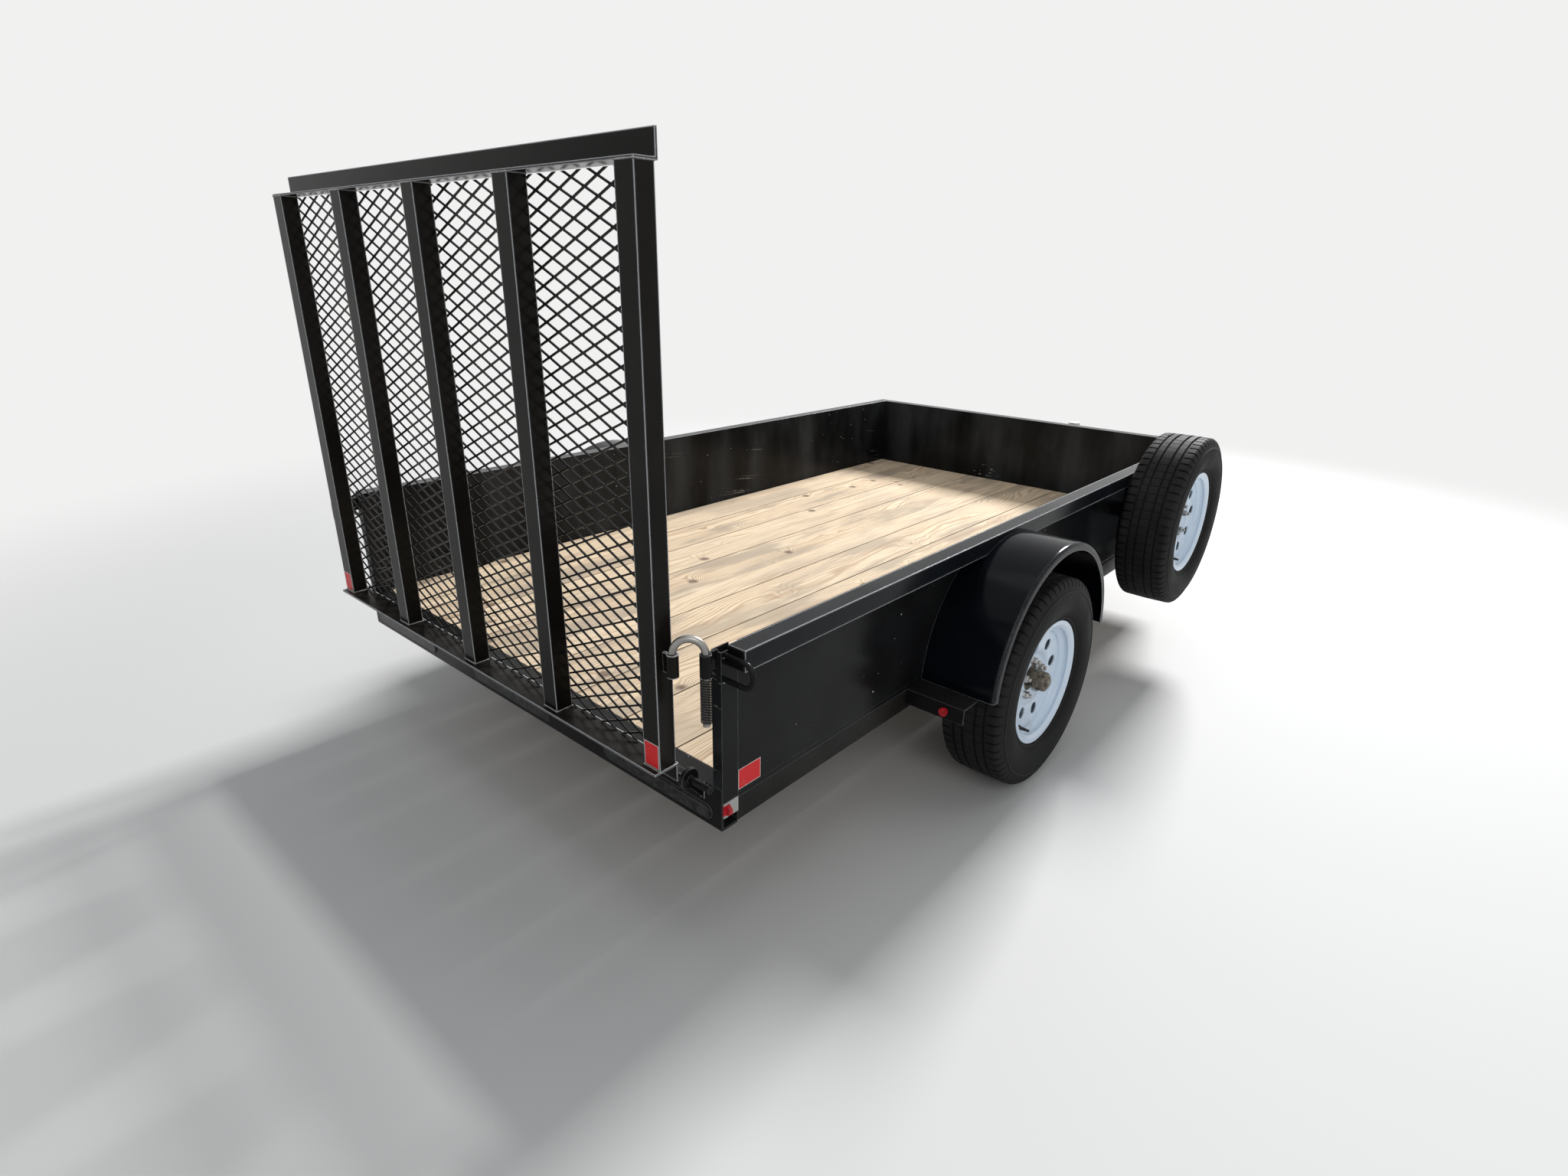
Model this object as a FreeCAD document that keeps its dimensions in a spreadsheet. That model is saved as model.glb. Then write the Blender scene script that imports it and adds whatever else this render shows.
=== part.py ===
"""Single axle utility trailer with solid steel sides, a board deck and a mesh ramp gate.

The trailer points along +X, +Y is its left side and +Z is up. Zero height is the ground. Each
sub-part is drawn in station coordinates, where x = 0 is the rear end of the side rails, and is then
placed so that the origin lies on the ground under the middle of the whole trailer.
"""
import FreeCAD, Part
import math
import os
import re

Vector = FreeCAD.Vector
doc = FreeCAD.newDocument("UtilityTrailer")

# Each row is the size's name, its value in millimetres or degrees, and what it is.
SIZE_TABLE = [
    ("origin_from_rear", 2001, "station of the origin, from the rear end of the side rails"),
    ("bed_length", 2996, "rear end of the side rails to the front wall"),
    ("bed_width", 1676, "between the side walls"),
    ("deck_top", 447, "deck surface above the ground, parked level"),
    ("side_height", 342, "deck surface to the top of the rails"),
    ("sheet", 2.5, "thickness of the wall sheet"),
    ("sheet_bottom", 421, "lower edge of the side walls above the ground"),
    ("rail_size", 48, "width and height of the square tube top rail"),
    ("rail_wall", 3, "wall of the top rail tube"),
    ("board_thick", 38, "thickness of a deck board"),
    ("board_width", 191, "width of a full deck board"),
    ("board_gap", 4.5, "gap between deck boards"),
    ("frame_depth", 64, "height of the frame channels"),
    ("frame_flange", 40, "flange width of the frame channels"),
    ("frame_wall", 5, "thickness of the frame channels"),
    ("cross_depth", 50, "height of a crossmember"),
    ("cross_count", 5, "number of crossmembers under the deck"),
    ("channel_setback", 20, "rear face of the rear channel behind the rails' rear end"),
    ("channel_width", 48, "flange width of the rear channel"),
    ("channel_height", 107, "height of the rear channel"),
    ("channel_wall", 5, "thickness of the rear channel"),
    ("bar_length", 380, "length of a lamp bar"),
    ("bar_height", 33, "height of a lamp bar"),
    ("bar_middle", 373, "height of the lamp bars' centre line"),
    ("bar_spread", 615, "centre of an outer lamp bar from the middle"),
    ("bar_depth", 12, "depth of a lamp bar"),
    ("post_bottom", 414, "foot of a rear corner post"),
    ("post_top", 776, "top of a rear corner post"),
    ("post_inside", 26, "how far a rear corner post stands into the bed"),
    ("axle_from_rear", 1158, "wheel centre forward of the rails' rear end"),
    ("tyre_radius", 331.5, "outer radius of the tyre"),
    ("tyre_width", 205, "section width of the tyre"),
    ("tread_width", 152, "flat width of the tread"),
    ("track_half", 973, "middle of a wheel from the middle of the trailer"),
    ("rim_radius", 197, "outer radius of the rim flange"),
    ("rim_width", 164, "width of the rim over its flanges"),
    ("rim_steel", 4, "thickness of the wheel's steel"),
    ("seat_radius", 178, "radius of the tyre seat on the rim"),
    ("well_radius", 160, "radius of the drop well of the rim"),
    ("hand_hole_radius", 19, "radius of a hand hole in the wheel disc"),
    ("hand_hole_circle", 113, "radius of the circle of hand holes"),
    ("hand_holes", 8, "number of hand holes"),
    ("lug_circle", 57.15, "radius of the circle of wheel studs"),
    ("lugs", 5, "number of wheel studs"),
    ("stud_radius", 6.35, "radius of a wheel stud"),
    ("hub_radius", 38, "radius of the hub barrel"),
    ("cap_radius", 31, "radius of the grease cap"),
    ("spindle_radius", 17, "radius of the axle spindle"),
    ("axle_radius", 30, "radius of the axle tube"),
    ("axle_drop", 102, "drop of the axle tube below the spindles"),
    ("spring_half_track", 812, "middle of a leaf spring from the middle of the trailer"),
    ("spring_span", 635, "distance between the eyes of a leaf spring"),
    ("spring_width", 44, "width of a leaf"),
    ("leaf_thick", 6.5, "thickness of a leaf"),
    ("leaf_count", 4, "number of leaves"),
    ("spring_arch", 30, "height of the eyes above the main leaf's middle"),
    ("fender_radius", 382, "outer radius of the fender"),
    ("fender_height", 393, "height of the fender's centre"),
    ("fender_width", 228, "width of the fender from the wall"),
    ("fender_sheet", 2.5, "thickness of the fender"),
    ("fender_lip", 14, "depth of the turned edge of the fender"),
    ("gate_rear", 125, "rear face of the gate posts behind the rails' rear end"),
    ("gate_tube_depth", 43, "depth of a gate post"),
    ("gate_tube_width", 50, "width of a gate post"),
    ("gate_tube_wall", 3, "wall of a gate post"),
    ("gate_foot", 511, "height of the foot of the gate posts"),
    ("gate_post_height", 1144, "length of a gate post"),
    ("gate_pitch", 369, "distance between gate posts"),
    ("angle_wall", 5, "thickness of the gate's angles"),
    ("top_angle_leg", 50, "leg of the gate's top angle"),
    ("bottom_angle_leg", 65, "shelf leg of the gate's bottom angle"),
    ("bottom_angle_drop", 45, "vertical leg of the gate's bottom angle"),
    ("mesh_long", 152.4, "long way of a mesh diamond"),
    ("mesh_short", 67.74, "short way of a mesh diamond"),
    ("mesh_strand", 5, "width of a mesh strand"),
    ("mesh_thick", 3, "thickness of the mesh"),
    ("hinge_back", 60, "hinge axis behind the rails' rear end"),
    ("hinge_height", 472, "hinge axis above the ground"),
    ("hinge_pin", 8, "radius of a hinge pin"),
    ("hinge_tube", 14, "outer radius of a hinge knuckle"),
    ("hinge_play", 0.3, "clearance of a hinge pin in its lug"),
    ("latch_rod", 8, "radius of the latch rod"),
    ("latch_sleeve", 12.5, "outer radius of a latch sleeve"),
    ("latch_play", 0.4, "clearance of the latch rod in a sleeve"),
    ("latch_height", 50, "length of a latch sleeve"),
    ("latch_top", 787, "top of the latch sleeves"),
    ("spring_drop", 105, "length of the latch spring"),
    ("loop_rod", 6, "radius of the tie loops' rod"),
    ("tongue_depth", 76, "height of the tongue channels"),
    ("tongue_flange", 38, "flange width of the tongue channels"),
    ("tongue_wall", 5, "thickness of the tongue channels"),
    ("tongue_angle", 25, "angle of each tongue channel to the trailer's axis"),
    ("tongue_root", 2560, "station of the rear end of the tongue"),
    ("ball_station", 4110, "station of the middle of the hitch ball"),
    ("ball_height", 372, "height of the middle of the hitch ball"),
    ("ball_radius", 25.4, "radius of the hitch ball that the coupler takes"),
    ("coupler_wall", 5, "thickness of the coupler"),
    ("jack_station", 3760, "station of the jack"),
    ("jack_radius", 28.5, "outer radius of the jack's outer tube"),
    ("jack_wall", 3, "wall of the jack's tubes"),
    ("jack_play", 0.4, "clearance between the jack's tubes"),
    ("jack_bottom", 210, "lower end of the jack's outer tube"),
    ("jack_length", 430, "length of the jack's outer tube"),
    ("foot_size", 130, "diameter of the jack's foot"),
    ("spare_station", 2347, "station of the spare wheel"),
    ("spare_height", 592, "height of the spare wheel's centre"),
    ("spare_offset", 1000, "middle of the spare wheel from the middle of the trailer"),
]

sheet = doc.addObject("Spreadsheet::Sheet", "size")
for row, (name, number, words) in enumerate(SIZE_TABLE, start=1):
    sheet.set("A%d" % row, words)
    sheet.set("B%d" % row, str(number))
    sheet.setAlias("B%d" % row, name)
doc.recompute()


class Sizes:
    """The sheet's values as plain numbers, for shapes that no primitive can make."""


size = Sizes()
for name, number, words in SIZE_TABLE:
    setattr(size, name, float(sheet.get(name)))

FUNCTIONS = ("sin", "cos", "tan", "sqrt")
HALF = "bed_width / 2"
RAIL_TOP = "(deck_top + side_height)"
DECK_UNDER = "(deck_top - board_thick)"
FRAME_UNDER = "(deck_top - board_thick - frame_depth)"
GATE_FRONT = "(gate_tube_depth - gate_rear)"
GATE_TOP = "(gate_foot + gate_post_height)"
CHANNEL_UNDER = "(deck_top - channel_height)"


def bound(text):
    """The expression with each size's name pointed at the sheet."""
    return re.sub(r"[a-z_]{2,}", lambda word: word.group(0) if word.group(0) in FUNCTIONS
                  else "size." + word.group(0), text)


def bind(piece, **texts):
    for key, text in texts.items():
        piece.setExpression(key.replace("__", "."), bound(text))


def place(piece, spot):
    """Bind the piece's position to three expressions."""
    bind(piece, Placement__Base__x=spot[0], Placement__Base__y=spot[1], Placement__Base__z=spot[2])
    return piece


def block(name, x, y, z):
    """A box: each argument is its start and its extent along one axis."""
    piece = doc.addObject("Part::Box", name)
    bind(piece, Length=x[1], Width=y[1], Height=z[1])
    return place(piece, (x[0], y[0], z[0]))


TURNS = {"x": FreeCAD.Rotation(Vector(0, 1, 0), 90), "y": FreeCAD.Rotation(Vector(1, 0, 0), -90),
         "z": FreeCAD.Rotation()}


def rod(name, radius, length, spot, along="z"):
    """A round bar that starts at the spot and runs along one axis."""
    piece = doc.addObject("Part::Cylinder", name)
    bind(piece, Radius=radius, Height=length)
    piece.Placement = FreeCAD.Placement(Vector(), TURNS[along])
    return place(piece, spot)


def cut(name, base, tool):
    piece = doc.addObject("Part::Cut", name)
    piece.Base = base
    piece.Tool = tool
    return piece


def join(name, pieces):
    piece = doc.addObject("Part::MultiFuse", name)
    piece.Shapes = pieces
    return piece


def mirrored(piece):
    """The same piece on the other side of the trailer."""
    copy = doc.addObject("Part::Mirroring", piece.Name + "_mirrored")
    copy.Source = piece
    copy.Normal = Vector(0, 1, 0)
    return copy


def formed(name, shape):
    """A piece whose shape is worked out from the sheet's values."""
    piece = doc.addObject("Part::Feature", name)
    piece.Shape = shape
    return piece


NODES = []


def node(label, pieces):
    """One sub-part: its pieces, placed from station coordinates to the trailer's own origin."""
    piece = doc.addObject("Part::Compound", label + "_node")
    piece.Links = pieces
    piece.Label = label
    bind(piece, Placement__Base__x="-origin_from_rear")
    NODES.append(piece)
    return piece


def tube(name, x, y, z, wall, along):
    """A square tube: a block with a smaller block cut out along one axis."""
    outer = block(name + "_outer", x, y, z)
    axes = []
    for axis, (start, extent) in zip("xyz", (x, y, z)):
        if axis == along:
            axes.append(("%s - 1" % start, "%s + 2" % extent))
        else:
            axes.append(("%s + %s" % (start, wall), "%s - 2 * %s" % (extent, wall)))
    inner = block(name + "_inner", *axes)
    return cut(name, outer, inner)


def polygon_prism(points, direction):
    """A solid from a closed outline of points pushed along a direction."""
    corners = [Vector(*point) for point in points]
    outline = Part.makePolygon(corners + corners[:1])
    return Part.Face(outline).extrude(Vector(*direction))


def turned(profile, angle=360.0, centre=Vector(0, 0, 0)):
    """A solid turned about the Y axis from a closed outline of (radius, y) corners."""
    corners = [Vector(0, y, radius) + centre for radius, y in profile]
    face = Part.Face(Part.makePolygon(corners + corners[:1]))
    return face.revolve(centre, Vector(0, 1, 0), angle)


def bent_rod(points, radius, bend):
    """A round rod along straight runs joined by arcs of one bend radius."""
    points = [Vector(*point) for point in points]
    edges = []
    start = points[0]
    for before, corner, after in zip(points, points[1:], points[2:]):
        back = (before - corner).normalize()
        ahead = (after - corner).normalize()
        half_turn = back.getAngle(ahead) / 2
        reach = bend / math.tan(half_turn)
        enter = corner + back * reach
        leave = corner + ahead * reach
        middle_way = (back + ahead).normalize()
        middle = corner + middle_way * (bend / math.sin(half_turn) - bend)
        if (enter - start).Length > 0.01:
            edges.append(Part.LineSegment(start, enter).toShape())
        edges.append(Part.Arc(enter, middle, leave).toShape())
        start = leave
    if (points[-1] - start).Length > 0.01:
        edges.append(Part.LineSegment(start, points[-1]).toShape())
    path = Part.Wire(edges)
    ring = Part.Wire(Part.makeCircle(radius, points[0], points[1] - points[0]))
    return path.makePipeShell([ring], True, True)


def frame_rails():
    """The two channels under the bed's edges, open towards the middle."""
    web = block("frame_web", ("channel_width - channel_setback", "bed_length + channel_setback - channel_width"),
                (HALF + " - frame_wall", "frame_wall"), (FRAME_UNDER, "frame_depth"))
    flanges = []
    for name, z in (("upper", DECK_UNDER + " - frame_wall"), ("lower", FRAME_UNDER)):
        flanges.append(block("frame_flange_" + name,
                             ("channel_width - channel_setback",
                              "bed_length + channel_setback - channel_width"),
                             (HALF + " - frame_flange", "frame_flange"), (z, "frame_wall")))
    left = join("frame_left", [web] + flanges)
    node("frame_rails", [left, mirrored(left)])


def crossmembers():
    """Channels across the bed, under the boards, between the frame rails."""
    pieces = []
    pitch = "(bed_length / (cross_count + 1))"
    for index in range(int(size.cross_count)):
        start = "%s * %d" % (pitch, index + 1)
        inside = ("frame_flange - " + HALF, "bed_width - 2 * frame_flange")
        web = block("cross_web_%d" % index, (start, "frame_wall"), inside,
                    (DECK_UNDER + " - cross_depth", "cross_depth"))
        shelf = block("cross_shelf_%d" % index, (start, "frame_flange"), inside,
                      (DECK_UNDER + " - frame_wall", "frame_wall"))
        pieces.append(join("cross_%d" % index, [web, shelf]))
    node("crossmembers", pieces)


def rear_channel():
    """The rear crossmember: a channel open to the front, with three slots for the lamp bars."""
    across = ("-" + HALF, "bed_width")
    rear = "-channel_setback"
    web = block("rear_web", (rear, "channel_wall"), across, (CHANNEL_UNDER, "channel_height"))
    top = block("rear_top", (rear, "channel_width"), across,
                ("deck_top - channel_wall", "channel_wall"))
    bottom = block("rear_bottom", (rear, "channel_width"), across, (CHANNEL_UNDER, "channel_wall"))
    channel = join("rear_channel_whole", [web, top, bottom])
    slots = []
    for index, shift in enumerate(("-bar_spread", "0", "bar_spread")):
        slots.append(oval("slot_%d" % index, shift, rear + " - 1", "channel_wall + 2", "0.3"))
    node("rear_channel", [cut("rear_channel_slotted", channel, join("slots", slots))])


def oval(name, middle, start, depth, margin):
    """A round ended bar across the trailer, as deep as told along X."""
    radius = "bar_height / 2 + " + margin
    straight = "(bar_length - bar_height)"
    body = block(name + "_body", (start, depth), (middle + " - %s / 2" % straight, straight),
                 ("bar_middle - bar_height / 2 - " + margin, "bar_height + 2 * " + margin))
    ends = []
    for side, sign in (("left", "+"), ("right", "-")):
        ends.append(rod(name + "_" + side, radius, depth,
                        (start, "%s %s %s / 2" % (middle, sign, straight), "bar_middle"), "x"))
    return join(name, [body] + ends)


def lamp_bars():
    """Two tail lamp bars and the middle marker bar, standing 4 mm proud of the channel."""
    bars = []
    for index, shift in enumerate(("-bar_spread", "0", "bar_spread")):
        bars.append(oval("bar_%d" % index, shift, "-channel_setback - 4", "bar_depth", "0"))
    node("lamp_bars", bars)


def deck_boards():
    """Eight full boards and a ripped one right of the middle."""
    boards = []
    pitch = "(board_width + board_gap)"
    rest = "(bed_width - 8 * %s - board_gap)" % pitch
    for side in (1, -1):
        for index in range(4):
            near = HALF + " - board_gap - board_width - %d * %s" % (index, pitch)
            start = near if side == 1 else "-(%s) - board_width" % near
            boards.append((start, "board_width"))
    boards.append(("%s - 4 * %s - %s" % (HALF, pitch, rest), rest))
    pieces = []
    for index, (start, width) in enumerate(boards):
        pieces.append(block("board_%d" % index,
                            ("channel_width - channel_setback + 1",
                             "bed_length - channel_width + channel_setback - 4"),
                            (start, width), (DECK_UNDER, "board_thick")))
    node("deck_boards", pieces)


def walls():
    """Solid sheet sides and front."""
    side = block("side_sheet", ("channel_width - channel_setback",
                                "bed_length - channel_width + channel_setback"),
                 (HALF, "sheet"), ("sheet_bottom", RAIL_TOP + " - sheet_bottom"))
    node("side_walls", [side, mirrored(side)])
    front = block("front_sheet", ("bed_length", "sheet"), ("-%s - sheet" % HALF, "bed_width + 2 * sheet"),
                  ("sheet_bottom", RAIL_TOP + " - sheet_bottom"))
    node("front_wall", [front])


def top_rails():
    """Square tubes along the outside of the walls' upper edge."""
    under = RAIL_TOP + " - rail_size"
    side = tube("side_rail", ("0", "bed_length + sheet + rail_size"), (HALF + " + sheet", "rail_size"),
                (under, "rail_size"), "rail_wall", "x")
    node("side_rails", [side, mirrored(side)])
    front = tube("front_rail", ("bed_length + sheet", "rail_size"), ("-%s - sheet" % HALF, "bed_width + 2 * sheet"),
                 (under, "rail_size"), "rail_wall", "y")
    node("front_rail_tube", [front])


def front_channel():
    """The front crossmember, under the front wall."""
    across = ("-" + HALF, "bed_width")
    web = block("front_web", ("bed_length", "frame_wall"), across,
                (FRAME_UNDER, "sheet_bottom - %s" % FRAME_UNDER))
    bottom = block("front_flange", ("bed_length", "frame_flange"), across, (FRAME_UNDER, "frame_wall"))
    node("front_channel", [join("front_channel_whole", [web, bottom])])


def corner_posts():
    """Formed posts that close the rear ends of the side walls."""
    height = ("post_bottom", "post_top - post_bottom")
    whole = block("post_whole", ("-channel_setback", "channel_width"),
                  (HALF + " - post_inside", "post_inside + sheet"), height)
    hollow = block("post_hollow", ("sheet - channel_setback", "channel_width"),
                   (HALF + " - post_inside + sheet", "post_inside - sheet"),
                   ("post_bottom - 1", "post_top - post_bottom + 2"))
    room = block("post_room", ("-channel_setback - 1", "channel_width + 2"),
                 (HALF + " - post_inside - 1", "post_inside + 1"),
                 ("post_bottom - 1", "deck_top - post_bottom + 1"))
    post = cut("post_open", cut("post_formed", whole, hollow), room)
    node("corner_posts", [post, mirrored(post)])


def fenders():
    """Round fenders: a rolled sheet with a turned outer edge, welded to the wall."""
    inner_y = size.bed_width / 2 + size.sheet
    outer_y = inner_y + size.fender_width
    radius = size.fender_radius
    bend = 10.0
    profile = [(radius, inner_y)]
    for step in range(5):
        turn = math.radians(22.5 * step)
        profile.append((radius - bend + bend * math.cos(turn), outer_y - bend + bend * math.sin(turn)))
    profile.append((radius - size.fender_lip - bend, outer_y))
    inset = []
    for step in range(5):
        turn = math.radians(22.5 * (4 - step))
        inside = bend - size.fender_sheet
        inset.append((radius - bend + inside * math.cos(turn), outer_y - bend + inside * math.sin(turn)))
    profile.append((radius - size.fender_lip - bend, outer_y - size.fender_sheet))
    profile += inset
    profile.append((radius - size.fender_sheet, inner_y))
    centre = Vector(size.axle_from_rear, 0, size.fender_height)
    shell = turned(profile, 174.0, centre)
    shell.rotate(centre, Vector(0, 1, 0), -87.0)
    rail_under = size.deck_top + size.side_height - size.rail_size - 0.3
    shell = shell.cut(Part.makeBox(2 * radius, size.rail_size + 0.3, size.rail_size + 1,
                                   Vector(size.axle_from_rear - radius, inner_y, rail_under)))
    node("fenders", [formed("fender_left", shell),
                     formed("fender_right", shell.mirror(Vector(), Vector(0, 1, 0)))])


def fender_brackets():
    """Angles that carry the rear ends of the fenders and a marker lamp each."""
    rear = "axle_from_rear - fender_radius - 76"
    side = HALF
    shelf = block("bracket_shelf", (rear, "74"), (side, "184"), ("408", "4"))
    leg = block("bracket_leg", (rear, "4"), (side, "184"), ("366", "46"))
    bracket = join("bracket", [shelf, leg])
    node("fender_brackets", [bracket, mirrored(bracket)])


def tyre_solid():
    """The tyre as a ring about the Y axis, middle at y = 0."""
    half = size.tyre_width / 2
    tread = size.tread_width / 2
    seat = size.seat_radius + 0.3
    bead = size.rim_width / 2 - 8.8
    outer = size.tyre_radius
    side = [(seat, bead), (seat + 19, bead + 3.8), (seat + 45, half - 6), (seat + 78, half),
            (seat + 112, half - 7), (outer - 20, half - 16), (outer - 7, tread + 6), (outer, tread - 6)]
    profile = side + [(radius, -y) for radius, y in reversed(side)]
    return turned(profile)


def rim_solid():
    """The steel wheel: barrel, flanges and a crowned disc with hand holes; outer face towards +Y."""
    half = size.rim_width / 2
    steel = size.rim_steel
    flange, seat, well = size.rim_radius, size.seat_radius, size.well_radius
    outside = [(flange, half), (flange, half - 4), (seat, half - 8), (seat, 40), (well, 24), (well, -14),
               (seat, -34), (seat, 8 - half), (flange, 4 - half), (flange, -half)]
    inside = [(flange - steel, -half), (seat - steel, 4 - half), (seat - steel, -30),
              (well - steel, -12), (well - steel, 22), (seat - steel, 38), (seat - steel, half - 4),
              (flange - steel, half)]
    barrel = turned(outside + inside)
    disc = turned([(well - steel, -6), (well - steel, 0), (128, 12), (98, 14), (78, 5), (42, 5),
                   (42, 0), (79, 0), (99, 9), (127, 7)])
    wheel = barrel.fuse(disc)
    for index in range(int(size.hand_holes)):
        turn = 2 * math.pi * index / size.hand_holes
        spot = Vector(size.hand_hole_circle * math.cos(turn), -half, size.hand_hole_circle * math.sin(turn))
        wheel = wheel.cut(Part.makeCylinder(size.hand_hole_radius, 2 * half, spot, Vector(0, 1, 0)))
    for x, z in lug_spots():
        wheel = wheel.cut(Part.makeCylinder(size.stud_radius + 0.5, 2 * half, Vector(x, -half, z), Vector(0, 1, 0)))
    return wheel


def lug_spots():
    """Centres of the wheel studs in the plane of the wheel."""
    for index in range(int(size.lugs)):
        turn = 2 * math.pi * index / size.lugs + math.pi / 2
        yield size.lug_circle * math.cos(turn), size.lug_circle * math.sin(turn)


def hub_solid():
    """Hub barrel, flange, studs with nuts and the grease cap; outer side towards +Y."""
    hub = Part.makeCylinder(size.hub_radius, 62, Vector(0, -62, 0), Vector(0, 1, 0))
    hub = hub.fuse(Part.makeCylinder(72, 9, Vector(0, -9.3, 0), Vector(0, 1, 0)))
    hub = hub.fuse(Part.makeCylinder(size.cap_radius, 46, Vector(0, 0, 0), Vector(0, 1, 0)))
    hub = hub.fuse(Part.makeCone(size.cap_radius, 18, 10, Vector(0, 46, 0), Vector(0, 1, 0)))
    for x, z in lug_spots():
        hub = hub.fuse(Part.makeCylinder(size.stud_radius, 44, Vector(x, -9, z), Vector(0, 1, 0)))
        nut = Part.makeCylinder(11, 17, Vector(x, 5.3, z), Vector(0, 1, 0))
        hub = hub.fuse(nut)
    bore = Part.makeCylinder(size.spindle_radius + 0.05, 92, Vector(0, -62.5, 0), Vector(0, 1, 0))
    return hub.cut(bore)


def wheels():
    """Two road wheels and the spare, all the same wheel."""
    flip = Vector(0, 1, 0)
    shapes = {"tyre": tyre_solid(), "rim": rim_solid(), "hub": hub_solid()}
    for kind, shape in shapes.items():
        for side, sign in (("left", 1), ("right", -1)):
            piece = shape.copy() if sign == 1 else shape.mirror(Vector(), flip)
            piece.translate(Vector(size.axle_from_rear, sign * size.track_half, size.tyre_radius))
            node("%s_%s" % (kind, side), [formed("%s_%s_solid" % (kind, side), piece)])
    for kind in ("tyre", "rim"):
        piece = shapes[kind].mirror(Vector(), flip)
        piece.translate(Vector(size.spare_station, -size.spare_offset, size.spare_height))
        node("spare_" + kind, [formed("spare_%s_solid" % kind, piece)])


def spare_carrier():
    """Plate on the wall, arm and the disc with studs that the spare is bolted to."""
    wall = size.bed_width / 2 + size.sheet
    x, z = size.spare_station, size.spare_height
    outward = Vector(0, -1, 0)
    disc_face = size.spare_offset
    arm = Part.makeBox(50, disc_face - 12 - wall, 50, Vector(x - 25, -(disc_face - 12), z - 25))
    plate = Part.makeBox(160, 5, 220, Vector(x - 80, -(wall + 5), z - 110))
    disc = Part.makeCylinder(72, 12, Vector(x, -(disc_face - 12.3), z), outward)
    carrier = arm.fuse([plate, disc])
    for dx, dz in lug_spots():
        carrier = carrier.fuse(Part.makeCylinder(size.stud_radius, 42, Vector(x + dx, 1 - disc_face, z + dz), outward))
        carrier = carrier.fuse(Part.makeCylinder(11, 17, Vector(x + dx, -(disc_face + 5.3), z + dz), outward))
    node("spare_carrier", [formed("spare_carrier_solid", carrier)])


def axle():
    """A drop axle: a tube across, two upright legs and the spindles."""
    x = size.axle_from_rear
    low = size.tyre_radius - size.axle_drop
    leg = size.spring_half_track + 42
    across = Part.makeCylinder(size.axle_radius, 2 * leg, Vector(x, -leg, low), Vector(0, 1, 0))
    beam = across
    for sign in (1, -1):
        upright = Part.makeBox(52, 22, size.axle_drop + 52, Vector(x - 26, sign * leg - 11, low - 26))
        beam = beam.fuse(upright)
        start = sign * leg
        reach = size.track_half - 64 - leg
        spindle_base = Part.makeCylinder(26, reach, Vector(x, start, size.tyre_radius), Vector(0, sign, 0))
        spindle = Part.makeCylinder(size.spindle_radius, reach + 90, Vector(x, start, size.tyre_radius),
                                    Vector(0, sign, 0))
        beam = beam.fuse([spindle_base, spindle])
    node("axle", [formed("axle_solid", beam)])


def leaf_springs():
    """Leaf packs that sit on the axle tube, each with a rolled eye at both ends of the main leaf."""
    x0 = size.axle_from_rear
    seat = size.tyre_radius - size.axle_drop + size.axle_radius + 6
    main_bottom = seat + (size.leaf_count - 1) * size.leaf_thick
    half = size.spring_span / 2
    curve = (half ** 2 + size.spring_arch ** 2) / (2 * size.spring_arch)
    centre_z = main_bottom + curve
    eye_radius = 13.0

    def leaf(order):
        """One arc leaf, the main leaf being order 0."""
        outer = curve + order * size.leaf_thick
        inner = outer - size.leaf_thick
        reach = math.asin((half - 8 - order * 62) / curve)
        ends = []
        for radius, sign in ((outer, -1), (outer, 1), (inner, 1), (inner, -1)):
            turn = sign * reach
            ends.append(Vector(x0 + radius * math.sin(turn), 0, centre_z - radius * math.cos(turn)))
        low = Vector(x0, 0, centre_z - outer)
        high = Vector(x0, 0, centre_z - inner)
        wire = Part.Wire([Part.Arc(ends[0], low, ends[1]).toShape(), Part.LineSegment(ends[1], ends[2]).toShape(),
                          Part.Arc(ends[2], high, ends[3]).toShape(),
                          Part.LineSegment(ends[3], ends[0]).toShape()])
        return Part.Face(wire).extrude(Vector(0, size.spring_width, 0))

    pack = leaf(0)
    for order in range(1, int(size.leaf_count)):
        pack = pack.fuse(leaf(order))
    for sign in (1, -1):
        spot = Vector(x0 + sign * half, 0, main_bottom + size.spring_arch + eye_radius - 2)
        eye = Part.makeCylinder(eye_radius, size.spring_width, spot, Vector(0, 1, 0))
        hole = Part.makeCylinder(7.3, size.spring_width, spot, Vector(0, 1, 0))
        pack = pack.fuse(eye).cut(hole)
    pack.translate(Vector(0, size.spring_half_track - size.spring_width / 2, 0))
    node("leaf_springs", [formed("leaf_left", pack), formed("leaf_right", pack.mirror(Vector(), Vector(0, 1, 0)))])


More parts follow.
